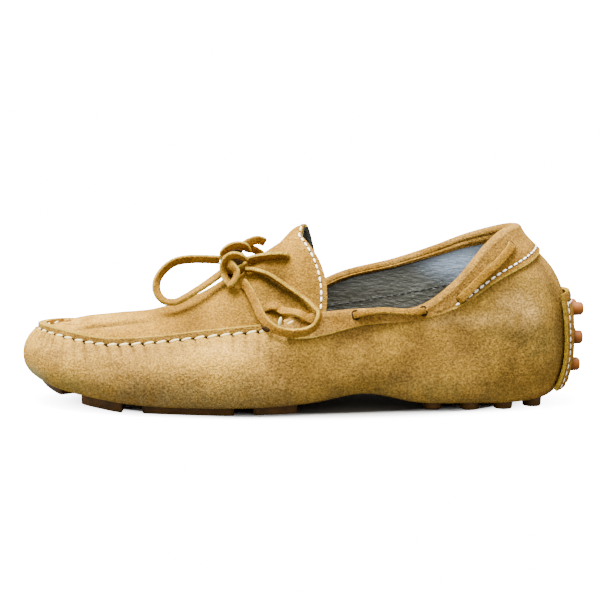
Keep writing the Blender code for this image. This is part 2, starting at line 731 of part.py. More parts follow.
def main():
    clear_scene()
    parts = bpy.data.collections.new("driving_moccasin")
    cutters = bpy.data.collections.new("cutters")
    for collection in (parts, cutters):
        bpy.context.scene.collection.children.link(collection)
    rubber = make_material("sole_rubber", RUBBER, 0.55)
    front_turns = turns_between(-FOREFOOT_PLATE, FOREFOOT_PLATE)
    heel_turns = turns_between(HEEL_PLATE, FULL_TURN - HEEL_PLATE)
    pad_room = [
        make_sole("sole_forefoot", front_turns, FOREFOOT_NUBS, NUB_RADIUS, True,
                  parts, cutters, rubber),
        make_sole("sole_heel", heel_turns, HEEL_NUBS, HEEL_NUB_RADIUS, False,
                  parts, cutters, rubber),
    ]
    make_upper(parts, pad_room)
    make_apron(parts)
    make_insole(parts)
    make_band(parts)
    make_heel_tab(parts, cutters)
    lace = make_material("lace_suede", LACE, 0.9)
    make_lace_bars(parts, lace)
    make_cords(parts, lace)


main()
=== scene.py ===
# Looks of the driving moccasin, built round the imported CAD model. Lengths are metres.
# X runs from toe to heel, -Y is the outer side of the foot and faces the camera, +Z is up.
import math
import random
from collections import namedtuple
from functools import lru_cache

import bmesh
import bpy
from mathutils import Matrix, Vector, noise


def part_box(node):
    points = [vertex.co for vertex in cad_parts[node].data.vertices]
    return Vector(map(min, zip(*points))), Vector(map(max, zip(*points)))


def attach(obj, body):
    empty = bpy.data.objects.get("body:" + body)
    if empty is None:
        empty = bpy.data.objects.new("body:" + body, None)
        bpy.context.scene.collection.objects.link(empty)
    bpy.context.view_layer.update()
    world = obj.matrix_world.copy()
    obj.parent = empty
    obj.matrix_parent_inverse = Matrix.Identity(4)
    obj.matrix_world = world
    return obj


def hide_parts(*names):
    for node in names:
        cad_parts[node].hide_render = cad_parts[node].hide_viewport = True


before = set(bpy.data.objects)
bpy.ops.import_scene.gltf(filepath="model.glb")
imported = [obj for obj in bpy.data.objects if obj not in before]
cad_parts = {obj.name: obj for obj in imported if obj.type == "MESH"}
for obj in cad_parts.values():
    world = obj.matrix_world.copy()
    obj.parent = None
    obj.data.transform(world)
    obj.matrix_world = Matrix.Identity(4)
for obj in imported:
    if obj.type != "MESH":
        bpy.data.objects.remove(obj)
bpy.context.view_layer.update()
hullLow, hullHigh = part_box("upper")
print("frame loaded")

# Sizes of the last, as in the CAD model
shoe = {
    "front": hullLow.x,
    "hullLength": hullHigh.x - hullLow.x,
    "halfBall": (hullHigh.y - hullLow.y) / 2,
    "vampHeight": 0.040,
    "edgeHeight": 0.0858,
    "tongueHeight": 0.0835,
    "toeSpring": 0.0093,
    "archHeight": 0.0095,
    "lugHeight": 0.0035,
    "ridgeHeight": 0.0030,
    "bandEdge": 0.0010,
    "bandInside": 0.0042,
    "gap": 0.0003,
}
wall = {
    "upper": 0.0018,
    "apron": 0.0018,
    "band": 0.0015,
    "tab": 0.0020,
    "strip": 0.0010,
    "plate": 0.0015,
    "insole": 0.0025,
}
bandRadius = wall["upper"] / 2 + shoe["gap"] + wall["band"]
tabOut = shoe["gap"] * 2 + wall["strip"] + wall["tab"]
seamInset = wall["upper"] + shoe["gap"] + wall["apron"]
tongueInset = seamInset + shoe["gap"] * 2 + wall["band"]

# Sections of the hull, in shares of the sizes above: widest line, foot line, top edge
Section = namedtuple(
    "Section",
    "wideAlong wideAcross wideUp footAlong footAcross spring arch "
    "edgeAlong edgeAcross seam rise band")

toeSection = Section(0.0, 12.6, 60, 4.2, 10.5, 100, 0, 2.8, 11.6, 90.0, 0.0, 5)
heelSection = Section(100.0, 2.1, 75, 96.1, 1.0, 5, 0, 90.7, 1.0, 100, 100, 25)
outerSide = [
    Section(2.2, -30.0, 56, 5.9, -18.5, 85, 0, 4.2, -11.6, 90.5, 0.0, 5),
    Section(7.6, -60.0, 50, 10.1, -42.0, 53, 0, 7.9, -32.6, 87.5, 0.0, 5),
    Section(17.5, -83.5, 44, 18.8, -63.0, 16, 0, 16.2, -56.8, 80.8, 0.0, 5),
    Section(26.5, -93.7, 41, 26.9, -73.7, 1, 0, 25.0, -66.3, 83.8, 0.0, 5),
    Section(36.1, -100.0, 40, 36.1, -80.0, 0, 0, 35.3, -68.0, 91.8, 0.0, 5),
    Section(44.9, -95.8, 41, 44.5, -76.8, 0, 0, 44.9, -68.0, 98.8, 0.0, 8),
    Section(53.7, -85.3, 45, 53.4, -65.0, 0, 16, 52.3, -73.3, 100, 9.5, 19),
    Section(62.6, -76.8, 50, 62.6, -54.7, 0, 55, 61.8, -71.6, 100, 14.9, 11),
    Section(71.4, -71.6, 55, 71.8, -53.7, 0, 7, 71.0, -68.4, 100, 15.4, 6),
    Section(79.5, -69.0, 60, 79.5, -52.6, 0, 0, 77.7, -65.3, 100, 40.0, 19),
    Section(87.6, -65.9, 65, 86.9, -50.5, 0, 0, 83.2, -56.8, 100, 75.8, 30),
    Section(95.0, -51.6, 70, 92.4, -35.8, 2, 0, 86.9, -40.0, 100, 93.4, 33),
    Section(98.8, -26.3, 74, 95.1, -17.9, 5, 0, 89.6, -20.0, 100, 99.0, 29),
]
innerSide = [
    Section(1.7, 39.0, 56, 5.9, 31.0, 85, 0, 3.9, 30.5, 90.5, 0.0, 5),
    Section(5.9, 64.5, 50, 9.9, 51.5, 53, 0, 7.0, 47.4, 89.5, 0.0, 5),
    Section(15.5, 88.4, 44, 17.7, 67.4, 16, 0, 14.7, 66.3, 86.0, 0.0, 5),
    Section(25.8, 99.2, 41, 26.5, 79.0, 1, 0, 24.3, 72.6, 88.8, 0.0, 5),
    Section(35.3, 98.1, 40, 35.7, 78.0, 0, 0, 34.6, 72.6, 93.8, 0.0, 5),
    Section(44.9, 88.0, 43, 44.9, 67.4, 0, 4, 44.2, 70.7, 100, 0.0, 8),
    Section(53.7, 77.5, 50, 53.7, 52.6, 0, 47, 51.5, 73.3, 100, 17.6, 19),
    Section(62.6, 72.6, 58, 62.6, 41.0, 0, 100, 59.6, 72.2, 100, 40.7, 22),
    Section(71.4, 70.0, 63, 71.8, 42.0, 0, 68, 69.2, 69.5, 100, 55.0, 22),
    Section(79.5, 69.5, 65, 79.5, 49.5, 0, 10, 76.9, 66.3, 100, 70.3, 25),
    Section(87.6, 67.4, 68, 86.9, 50.5, 0, 0, 82.4, 60.0, 100, 83.5, 30),
    Section(95.0, 52.6, 71, 92.4, 35.8, 2, 0, 86.7, 43.2, 100, 93.0, 33),
    Section(98.8, 29.5, 74, 95.1, 19.0, 5, 0, 89.6, 22.0, 100, 98.7, 29),
]
ring = [toeSection] + outerSide + [heelSection] + innerSide[::-1]
fullTurn = len(ring)
heelTurn = fullTurn // 2

# Levels up the hull
levelFoot, levelWide, levelSeam, levelTop = 1, 2, 3, 4

# Places counted in sections from the toe
seams = {
    "centreFront": 2.4,
    "centreRear": 12.0,
    "ridgeFade": 5.9,
    "ridgeEnd": 6.5,
    "bandStart": 6.5,
    "bandGrowth": 1.0,
    "foldShare": 0.8,
    "tongueStart": 6,
    "tonguePace": 0.67,
    "tongueSink": 0.0015,
}

ApronSection = namedtuple("ApronSection", "crestAlong crestUp fall lean")
apronRows = [
    ApronSection(8.8, 47.0, 1.9, 0),
    ApronSection(8.8, 47.0, 1.9, 0),
    ApronSection(12.5, 50.6, 1.9, 0),
    ApronSection(18.4, 52.8, 2.0, 0),
    ApronSection(25.0, 55.4, 2.0, 0.2),
    ApronSection(33.1, 65.0, 1.9, 0.6),
    ApronSection(41.2, 81.7, 1.7, 1),
    ApronSection(47.8, 95.1, 1.6, 1.5),
    ApronSection(51.3, 100.0, 1.55, 1.9),
]
apronEnd = len(apronRows) - 1
lobe = {"height": 0.0085, "level": 0.28, "width": 0.22, "start": 6.3, "full": 7.6}


# Curves and the surface of the last

def hermite(before, start, end, after, share):
    square = share * share
    cube = square * share
    slopeStart = (end - before) * 0.5
    slopeEnd = (after - start) * 0.5
    return (start * (2 * cube - 3 * square + 1) + slopeStart * (cube - 2 * square + share)
            + end * (3 * square - 2 * cube) + slopeEnd * (cube - square))


def smooth(share):
    share = min(max(share, 0.0), 1.0)
    return share * share * (3 - 2 * share)


def hump(value, middle, width):
    # 1 at the middle, falling softly on both sides
    return math.exp(-((value - middle) / width) ** 2)


def spread(start, end, steps):
    return [start + (end - start) * step / steps for step in range(steps + 1)]


@lru_cache(maxsize=None)
def ringSection(turn):
    first = math.floor(turn)
    rows = [ring[(first + step) % fullTurn] for step in (-1, 0, 1, 2)]
    return Section(*[hermite(*values, turn - first) for values in zip(*rows)])


def place(along, across, height):
    return Vector((shoe["front"] + along / 100 * shoe["hullLength"],
                   across / 100 * shoe["halfBall"], height))


@lru_cache(maxsize=None)
def footPoint(turn):
    section = ringSection(turn)
    lift = max(0.0, section.spring) * shoe["toeSpring"] + max(0.0, section.arch) * shoe["archHeight"]
    return place(section.footAlong, section.footAcross, shoe["lugHeight"] + lift / 100)


@lru_cache(maxsize=None)
def widePoint(turn):
    section = ringSection(turn)
    return place(section.wideAlong, section.wideAcross, section.wideUp / 100 * shoe["vampHeight"])


@lru_cache(maxsize=None)
def edgePoint(turn):
    section = ringSection(turn)
    rise = section.rise * (shoe["edgeHeight"] - shoe["vampHeight"])
    return place(section.edgeAlong, section.edgeAcross, (section.seam * shoe["vampHeight"] + rise) / 100)


def sideTurn(turn):
    # The same place counted from the toe, on either side
    return min(turn % fullTurn, fullTurn - turn % fullTurn)


def signedTurn(turn):
    # Outer side above 0, inner side below
    turn = turn % fullTurn
    return turn if turn <= heelTurn else turn - fullTurn


@lru_cache(maxsize=None)
def centrePoint(turn):
    index = min(max(sideTurn(turn), seams["centreFront"]), seams["centreRear"])
    return (footPoint(index) + footPoint(fullTurn - index)) / 2


def bezier(start, handleA, handleB, end, share):
    rest = 1 - share
    return (start * rest ** 3 + handleA * 3 * rest ** 2 * share
            + handleB * 3 * rest * share ** 2 + end * share ** 3)


def flat(vector):
    return Vector((vector.x, vector.y, 0))


def rearShare(turn):
    # 0 along the apron seam, 1 along the collar
    return smooth((sideTurn(turn) - seams["ridgeFade"]) / (seams["ridgeEnd"] - seams["ridgeFade"]))


@lru_cache(maxsize=None)
def hullSkin(turn, level):
    foot = footPoint(turn)
    if level <= levelFoot:
        return centrePoint(turn).lerp(foot, level)
    wide = widePoint(turn)
    if level <= levelWide:
        outward = foot - centrePoint(turn)
        reach = flat(wide - foot).length
        handleA = foot + outward * (0.6 * reach / flat(outward).length)
        handleB = wide - Vector((0, 0, 0.55 * (wide.z - foot.z)))
        return bezier(foot, handleA, handleB, wide, level - levelFoot)
    edge = edgePoint(turn)
    height = edge.z - wide.z
    steep = ringSection(turn).rise / 100
    handleA = wide + Vector((0, 0, (0.60 + 0.15 * steep) * height))
    handleB = edge + flat(wide - edge) * 0.42 - Vector((0, 0, (0.20 + 0.08 * steep) * height))
    if level <= levelSeam:
        return bezier(wide, handleA, handleB, edge, level - levelWide)
    rear = rearShare(turn)
    lip = (edge - handleB).normalized().lerp(Vector((0, 0, 1)), 1 - rear).normalized()
    reach = shoe["ridgeHeight"] + (shoe["bandEdge"] - shoe["ridgeHeight"]) * rear
    return edge + lip * (reach * (level - levelSeam))


@lru_cache(maxsize=None)
def hullNormal(turn, level):
    step = 0.02
    around = hullSkin(turn + step, level) - hullSkin(turn - step, level)
    upward = hullSkin(turn, min(level + step, levelTop)) - hullSkin(turn, level - step)
    return around.cross(upward).normalized()


def hullPoint(turn, level, out=0.0):
    if level < 0.05:
        return hullSkin(turn, level) - Vector((0, 0, out))
    return hullSkin(turn, level) + hullNormal(turn, level) * out


@lru_cache(maxsize=None)
def insetEdge(turn, level, inset):
    step = 0.02
    around = hullSkin(turn + step, level) - hullSkin(turn - step, level)
    outward = flat(around).cross(Vector((0, 0, 1))).normalized()
    return hullSkin(turn, level) - outward * inset


@lru_cache(maxsize=None)
def levelAtHeight(turn, height, low, high):
    for _ in range(18):
        middle = (low + high) / 2
        if hullSkin(turn, middle).z < height:
            low = middle
        else:
            high = middle
    return (low + high) / 2


@lru_cache(maxsize=None)
def apronCrest(index):
    first = min(int(index), apronEnd - 1)
    rows = [apronRows[min(max(first + step, 0), apronEnd)] for step in (-1, 0, 1, 2)]
    return ApronSection(*[hermite(*values, index - first) for values in zip(*rows)])


@lru_cache(maxsize=None)
def apronSide(turn, level):
    # Beside the hull's ridge in front, and inside the collar band behind
    index = abs(turn)
    if index <= seams["tongueStart"]:
        return insetEdge(turn, level, seamInset)
    tongue = smooth((index - seams["tongueStart"]) / 0.6)
    pace = seams["tongueStart"] + (index - seams["tongueStart"]) * seams["tonguePace"]
    side = math.copysign(pace, turn)
    base = insetEdge(side, levelSeam, seamInset + (tongueInset - seamInset) * tongue).copy()
    rise = shoe["ridgeHeight"] * (1 - tongue) + shoe["bandEdge"] * tongue
    base.z += rise * (level - levelSeam) - seams["tongueSink"] * tongue
    return base


def tongueLobe(turn, level):
    # The tongue's inner half stands higher than its outer half
    if turn >= 0 or level >= 1:
        return 0.0
    grown = smooth((abs(turn) - lobe["start"]) / (lobe["full"] - lobe["start"]))
    return (lobe["height"] * grown * hump(level, lobe["level"], lobe["width"])
            * smooth(level / 0.2) * smooth((1 - level) / 0.3))


def apronSkin(turn, level):
    # Level 0 is the crest, 1 the seam and 2 the top of the turned-up edge
    if level > 1:
        return apronSide(turn, levelSeam + level - 1)
    row = apronCrest(abs(turn))
    side = apronSide(turn, levelSeam)
    crest = place(row.crestAlong, 0, row.crestUp / 100 * shoe["tongueHeight"])
    crest.y = (apronSide(abs(turn), levelSeam).y + apronSide(-abs(turn), levelSeam).y) / 2
    rounded = level * level * 1.15 / (level + 0.15)
    curled = math.sin(0.55 * math.pi * rounded) / math.sin(0.55 * math.pi)
    pace = level + (curled - level) * row.lean
    return Vector((
        crest.x + (side.x - crest.x) * pace,
        crest.y + (side.y - crest.y) * level,
        crest.z + (side.z - crest.z) * level ** row.fall + tongueLobe(turn, level)))


def bandLevel(turn, lowHeight, share):
    fold = seams["foldShare"]
    if share >= fold:
        return levelSeam + (share - fold) / (1 - fold)
    low = levelAtHeight(turn, lowHeight, levelWide, levelSeam)
    return low + (levelSeam - low) * share / fold


def bandSkin(turn, row):
    # Row 0 to 1 hangs outside the hull, 1 to 2 folds over its edge, 2 to 3 lies inside
    section = ringSection(turn)
    grown = smooth((sideTurn(turn) - seams["bandStart"] + 0.35) / seams["bandGrowth"])
    edge = hullSkin(turn, levelSeam).z
    if row <= 1:
        hang = section.band / 100 * shoe["vampHeight"]
        return hullPoint(turn, bandLevel(turn, edge - hang, row), shoe["gap"] + wall["band"])
    if row >= 2:
        inside = wall["upper"] + shoe["gap"] + wall["band"]
        level = bandLevel(turn, edge - shoe["bandInside"] * grown, 3 - row)
        return hullPoint(turn, level, -inside)
    normal = hullNormal(turn, levelTop)
    upward = (hullSkin(turn, levelTop) - hullSkin(turn, levelSeam)).normalized()
    middle = hullSkin(turn, levelTop) - normal * (wall["upper"] / 2)
    angle = math.pi * (row - 1)
    return middle + (normal * math.cos(angle) + upward * math.sin(angle)) * bandRadius


def normalOf(skin, column, row, rowLimit=None):
    # Outward normal of a surface given as a function of column and row
    step = 0.02
    high = row + step if rowLimit is None else min(row + step, rowLimit)
    around = skin(column + step, row) - skin(column - step, row)
    upward = skin(column, high) - skin(column, row - step)
    return around.cross(upward).normalized()


# Mesh helpers

def drape(columns, rows, point, paint=None):
    # A grid laid over a surface. point gives a place, or a place and a depth that suede paints as shade
    # in hollows and highlight on ridges
    grid = bmesh.new()
    bmesh.ops.create_grid(grid, x_segments=len(columns) - 1, y_segments=len(rows) - 1, size=1)
    if paint:
        for face in grid.faces:
            middle = face.calc_center_median()
            column = (middle.x + 1) / 2 * (len(columns) - 1)
            row = (middle.y + 1) / 2 * (len(rows) - 1)
            columnValue = (columns[math.floor(column)] + columns[math.ceil(column)]) / 2
            rowValue = (rows[math.floor(row)] + rows[math.ceil(row)]) / 2
            face.material_index = paint(columnValue, rowValue)
    depth = grid.verts.layers.float.new("depth")
    for vertex in grid.verts:
        column = columns[round((vertex.co.x + 1) / 2 * (len(columns) - 1))]
        row = rows[round((vertex.co.y + 1) / 2 * (len(rows) - 1))]
        found = point(column, row)
        if isinstance(found, tuple):
            vertex.co, vertex[depth] = found
        else:
            vertex.co = found
    bmesh.ops.remove_doubles(grid, verts=grid.verts, dist=1e-6)
    return grid


def newPiece(name, grid, materials, replaced=()):
    for face in grid.faces:
        face.smooth = True
    mesh = bpy.data.meshes.new(name)
    grid.to_mesh(mesh)
    grid.free()
    for material in materials:
        mesh.materials.append(material)
    piece = bpy.data.objects.new(name, mesh)
    bpy.context.scene.collection.objects.link(piece)
    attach(piece, "root")
    if replaced:
        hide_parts(*replaced)
    return piece


def addWall(piece, thickness, rim=0, back=0):
    # The wall lies behind the surface; rim and back count material slots from the face's own
    step = piece.modifiers.new("wall", "SOLIDIFY")
    step.thickness = thickness
    step.offset = -1
    step.use_even_offset = False
    step.material_offset = back
    step.material_offset_rim = rim


def roundEdges(piece, width, segments=2, angle=50):
    step = piece.modifiers.new("soft edges", "BEVEL")
    step.width = width
    step.segments = segments
    step.limit_method = "ANGLE"
    step.angle_limit = math.radians(angle)
    step.harden_normals = False


def rowOfSpots(point, start, end, pitch, samples=500):
    # Evenly spaced spots along a line on a surface: place, direction, normal and step length
    fine = [point(value) for value in spread(start, end, samples)]
    lengths = [0.0]
    for before, after in zip(fine, fine[1:]):
        lengths.append(lengths[-1] + (after[0] - before[0]).length)
    count = max(1, round(lengths[-1] / pitch))
    spots = []
    index = 0
    for number in range(count):
        wanted = (number + 0.5) / count * lengths[-1]
        while index < len(lengths) - 2 and lengths[index + 1] < wanted:
            index += 1
        along = (fine[index + 1][0] - fine[index][0]).normalized()
        spots.append((fine[index][0], along, fine[index][1], lengths[-1] / count))
    return spots


def basis(origin, along, normal, size):
    # A matrix that puts a unit ball along a direction on a surface
    across = normal.cross(along).normalized()
    up = along.cross(across).normalized()
    matrix = Matrix((across * size[1], up * size[2], along * size[0])).transposed().to_4x4()
    matrix.translation = origin
    return matrix


def addStitches(grid, spots, length, width, height, tilt=0.0):
    for origin, along, normal, _ in spots:
        across = normal.cross(along).normalized()
        turned = (along + across * tilt).normalized()
        matrix = basis(origin, turned, normal, (length / 2, width / 2, height / 2))
        bmesh.ops.create_uvsphere(grid, u_segments=8, v_segments=6, radius=1, matrix=matrix)


def joinInto(grid, block):
    mesh = bpy.data.meshes.new("block")
    block.to_mesh(mesh)
    block.free()
    grid.from_mesh(mesh)
    bpy.data.meshes.remove(mesh)


def roundRim(block, inRim, offset, segments=3):
    # Rounds the edges whose two corners are both in the rim
    edges = [edge for edge in block.edges if all(inRim(vertex) for vertex in edge.verts)]
    bmesh.ops.bevel(block, geom=edges, offset=offset, offset_type="OFFSET",
                    segments=segments, profile=0.5, affect="EDGES", material=-1)


def stitchRow(name, spots, look, material, holes=None):
    # One row of thread stitches, with a needle hole painted dark as its shadow in each gap
    grid = bmesh.new()
    addStitches(grid, spots, look["length"], look["width"], look["height"], look.get("tilt", 0))
    newPiece(name, grid, [material])
    if holes:
        grid = bmesh.new()
        between = []
        for origin, along, normal, step in spots:
            middle = origin + along * (step / 2) - normal * look["width"] * 0.15
            between.append((middle, along, normal, step))
        size = look["hole"]
        addStitches(grid, between, size, size * 0.9, size * 0.5)
        newPiece(name + "_holes", grid, [holes])


# Camera, at the photo's height and angle
camera = {"place": (0.0, -0.5969, 0.1189), "tiltDown": 6.536, "lens": 72.57}
lens = bpy.data.cameras.new("camera")
lens.lens = camera["lens"]
lens.sensor_width = 36
viewer = bpy.data.objects.new("camera", lens)
viewer.location = camera["place"]
viewer.rotation_euler = (math.radians(90 - camera["tiltDown"]), 0, 0)
bpy.context.scene.collection.objects.link(viewer)
bpy.context.scene.camera = viewer


# Materials

def linear(hexColour):
    # sRGB hex to linear red, green, blue and alpha
    values = [int(hexColour[at:at + 2], 16) / 255 for at in (1, 3, 5)]
    return tuple([v / 12.92 if v < 0.04045 else ((v + 0.055) / 1.055) ** 2.4 for v in values] + [1])


def addNode(tree, kind, settings=None, sockets=None):
    # A socket takes a number, a colour, or another node with the name of its output
    node = tree.nodes.new("ShaderNode" + kind)
    for key, value in (settings or {}).items():
        setattr(node, key, value)
    for key, value in (sockets or {}).items():
        if isinstance(value, tuple) and hasattr(value[0], "outputs"):
            tree.links.new(value[0].outputs[value[1]], node.inputs[key])
        else:
            node.inputs[key].default_value = value
    return node


def dab(tree, colour, mask, strength, tone):
    # Lays a tone over a colour where a mask says, up to a strength
    amount = addNode(tree, "Math", {"operation": "MULTIPLY"}, {0: mask, 1: strength})
    return addNode(tree, "Mix", {"data_type": "RGBA"}, {0: (amount, "Value"), 6: colour, 7: tone}), 2


def noiseMask(tree, coordinates, sizeMm, detail, low, high, stretch=(1, 1, 1)):
    # Noise with patches of a size in millimetres, from 0 at low to 1 at high
    turned = addNode(tree, "Mapping", {}, {"Vector": coordinates, "Scale": stretch})
    cloud = addNode(tree, "TexNoise", {}, {
        "Vector": (turned, "Vector"), "Scale": 1000 / sizeMm, "Detail": detail, "Roughness": 0.6})
    return addNode(tree, "MapRange", {"interpolation_type": "SMOOTHSTEP"}, {
        "Value": (cloud, "Fac"), "From Min": low, "From Max": high}), "Result"


def spotMask(tree, coordinates, centre, size):
    # 1 at the centre, 0 at the edge of an egg-shaped patch
    moved = addNode(tree, "VectorMath", {"operation": "SUBTRACT"}, {0: coordinates, 1: centre})
    shrunk = addNode(tree, "VectorMath", {"operation": "DIVIDE"}, {0: (moved, "Vector"), 1: size})
    far = addNode(tree, "VectorMath", {"operation": "LENGTH"}, {0: (shrunk, "Vector")})
    return addNode(tree, "MapRange", {"interpolation_type": "SMOOTHERSTEP"}, {
        "Value": (far, "Value"), "From Min": 1.0, "From Max": 0.0}), "Result"


def roughen(tree, surface, *layers):
    # Each layer is a pattern of heights with its strength and its depth in metres
    below = {}
    for height, strength, depth in layers:
        bump = addNode(tree, "Bump", {}, {
            "Height": height, "Strength": strength, "Distance": depth, **below})
        below = {"Normal": (bump, "Normal")}
    tree.links.new(bump.outputs["Normal"], surface.inputs["Normal"])


def newMaterial(name, shader):
    material = bpy.data.materials.new(name)
    material.use_nodes = True
    tree = material.node_tree
    surface = tree.nodes["Principled BSDF"]
    for key, value in shader.items():
        surface.inputs[key].default_value = value
    coordinates = (addNode(tree, "TexCoord"), "Object")
    return material, tree, surface, coordinates


def suede(name, look, spots=()):
    # Suede is the buffed flesh side of leather: a short nap that scatters light, so it is matt
    # and mottled, darker where the nap lies away from the light and paler where it is rubbed.
    material, tree, surface, coordinates = newMaterial(name, {
        "Roughness": 0.95,
        "Specular IOR Level": 0.04,
        "Sheen Weight": look.get("sheen", 0.05),
        "Sheen Roughness": 0.45,
        "Sheen Tint": linear("#b5822a"),
    })
    base, shade, light, deep = [linear(look[key]) for key in ("base", "shade", "light", "deep")]
    broad = noiseMask(tree, coordinates, 24, 3, 0.35, 0.68)
    patches = noiseMask(tree, coordinates, look.get("patch", 6), 4, 0.36, 0.7, (0.7, 1, 1))
    nap = noiseMask(tree, coordinates, look.get("nap", 0.9), 5, 0.30, 0.72)
    colour = dab(tree, base, broad, 0.75, light)
    colour = dab(tree, colour, patches, look.get("mottle", 0.38), shade)
    for spot in spots:
        torn = addNode(tree, "Math", {"operation": "MULTIPLY"}, {
            0: spotMask(tree, coordinates, spot.centre, spot.size),
            1: noiseMask(tree, coordinates, 9, 4, 0.2, 0.6)})
        colour = dab(tree, colour, (torn, "Value"), spot.strength, linear(spot.tone))
    # Painted shade in the relief's creases, gathers and grooves, and painted highlight on its ridges
    depth = addNode(tree, "Attribute", {"attribute_name": "depth"})
    for full, strength, tone in ((-1.0, 0.6, deep), (1.0, 0.5, light)):  # painted shade in sunk places, painted highlight on raised ones
        reliefAndPaintedLight = addNode(tree, "MapRange", {}, {
            "Value": (depth, "Fac"), "From Min": 0.0, "From Max": full})
        colour = dab(tree, colour, (reliefAndPaintedLight, "Result"), strength, tone)
    grain = addNode(tree, "MapRange", {}, {"Value": nap, "To Min": 0.50, "To Max": 1.48})
    speckled = addNode(tree, "VectorMath", {"operation": "SCALE"}, {
        0: colour, "Scale": (grain, "Result")})
    tree.links.new(speckled.outputs["Vector"], surface.inputs["Base Color"])
    roughen(tree, surface, (nap, 0.75, 0.00045), (patches, 0.30, 0.0009))
    return material


def leather(name, look, spots):
    # Smooth drummed lining leather: a thin finish with a satin gloss and a fine creased grain
    material, tree, surface, coordinates = newMaterial(name, {
        "Roughness": look["roughness"], "Specular IOR Level": 0.5,
        "Coat Weight": 0.15, "Coat Roughness": 0.35})
    patches = noiseMask(tree, coordinates, 14, 3, 0.3, 0.7)
    colour = dab(tree, linear(look["base"]), patches, 0.5, linear(look["shade"]))
    for spot in spots:
        mask = spotMask(tree, coordinates, spot.centre, spot.size)
        colour = dab(tree, colour, mask, spot.strength, linear(spot.tone))
    tree.links.new(colour[0].outputs[colour[1]], surface.inputs["Base Color"])
    grain = noiseMask(tree, coordinates, 1.1, 4, 0.3, 0.7)
    creases = noiseMask(tree, coordinates, 2.6, 3, 0.3, 0.7, (0.5, 1, 1.6))
    roughen(tree, surface, (grain, 0.35, 0.0002), (creases, 0.5, 0.0005))
    return material


def rubber(name, look):
    # Moulded gum rubber: an even matt skin with a faint bloom and dust in its pores
    material, tree, surface, coordinates = newMaterial(name, {
        "Roughness": 0.62, "Specular IOR Level": 0.22})
    patches = noiseMask(tree, coordinates, 7, 3, 0.35, 0.75)
    colour = dab(tree, linear(look["base"]), patches, 1.0, linear(look["shade"]))
    tree.links.new(colour[0].outputs[colour[1]], surface.inputs["Base Color"])
    roughen(tree, surface, (noiseMask(tree, coordinates, 0.8, 3, 0.3, 0.7), 0.2, 0.0001))
    return material


def thread(name, look):
    # Waxed cotton thread: two plies twisted together, drawn coarse enough to show
    material, tree, surface, coordinates = newMaterial(name, {
        "Roughness": 0.7, "Specular IOR Level": 0.3, "Sheen Weight": 0.2})
    plies = noiseMask(tree, coordinates, 0.7, 2, 0.35, 0.65)
    colour = dab(tree, linear(look["base"]), plies, 0.6, linear(look["shade"]))
    tree.links.new(colour[0].outputs[colour[1]], surface.inputs["Base Color"])
    roughen(tree, surface, (plies, 0.4, 0.0002))
    return material


Spot = namedtuple("Spot", "centre size tone strength")
camel = {"base": "#805f28", "shade": "#62491c", "light": "#a67f2e", "deep": "#30210c"}
# Patches on the hull: scuffs and marks, with painted highlights and painted shade where the light falls
# on and off the shoe
hullMarksAndPaintedLight = [
    Spot((-0.128, -0.010, 0.014), (0.020, 0.030, 0.012), "#8e8b60", 1.0),   # scuffed toe
    Spot((-0.110, -0.030, 0.014), (0.030, 0.014, 0.009), "#6a6434", 0.5),
    Spot((-0.085, -0.040, 0.012), (0.035, 0.012, 0.008), "#62450f", 0.3),   # trodden side
    Spot((-0.035, -0.045, 0.034), (0.030, 0.012, 0.010), "#c0914a", 0.55),  # painted highlight on the ball's upper bulge, and rubbed nap
    Spot((0.112, -0.028, 0.040), (0.056, 0.034, 0.046), "#56461f", 0.85),   # painted shade, the heel darker as the light falls off towards it
    Spot((0.106, -0.032, 0.049), (0.022, 0.018, 0.015), "#c49a52", 0.75),   # painted highlight on the heel's side, here and in the next spot
    Spot((0.075, -0.036, 0.045), (0.034, 0.016, 0.007), "#c49a52", 0.60),
    Spot((-0.060, -0.045, 0.006), (0.110, 0.034, 0.024), "#7a683e", 0.7),   # painted shade, darker and greyer towards the sole, here and in the next spot
    Spot((0.050, -0.036, 0.006), (0.090, 0.034, 0.022), "#6a592f", 0.7),
    Spot((0.108, -0.028, 0.018), (0.035, 0.020, 0.013), "#5a4115", 0.6),    # darker low on the heel
    Spot((0.030, -0.036, 0.020), (0.040, 0.016, 0.013), "#5e4820", 0.55),   # shaded arch
    Spot((-0.100, 0.034, 0.014), (0.040, 0.016, 0.010), "#52401a", 0.5),    # inner side
    Spot((0.060, 0.032, 0.018), (0.050, 0.018, 0.014), "#4e320c", 0.45),
]
# Painted light and painted shade on the apron
apronPaintedLight = [
    Spot((-0.010, -0.020, 0.054), (0.060, 0.050, 0.040), "#5f4514", 0.90),  # painted shade, the tongue and flap darker where the light falls off
    Spot((-0.105, -0.004, 0.040), (0.040, 0.030, 0.016), "#b98c38", 0.60),  # painted light, the apron's front paler where the light falls
]
# The lining is painted pale blue grey where light falls at the heel's top and darker in front, for the
# shade deeper in the shoe
liningPaintedLight = [
    Spot((0.088, 0.030, 0.074), (0.042, 0.040, 0.024), "#a9bcd2", 1.0),     # painted light, a pale blue grey sheen at the heel's top
    Spot((0.010, 0.030, 0.045), (0.060, 0.040, 0.020), "#2c2a20", 0.9),     # painted shade deeper in the shoe, here and in the next spot
    Spot((0.060, 0.030, 0.046), (0.060, 0.040, 0.012), "#35342a", 0.7),
]
hullSuede = suede("camel_suede_hull", camel, hullMarksAndPaintedLight)
apronSuede = suede(
    "camel_suede_apron", dict(camel, base="#7c5716", light="#9a7024", mottle=0.30), apronPaintedLight)
bandSuede = suede("camel_suede_band", dict(camel, base="#745119", light="#936e30", mottle=0.45))
rawEdge = suede("cut_suede_edge", {
    "base": "#8f7320", "shade": "#5c4710", "light": "#b4953e", "deep": "#2e2208",
    "patch": 1.6, "nap": 0.5, "mottle": 0.6, "sheen": 0.1})
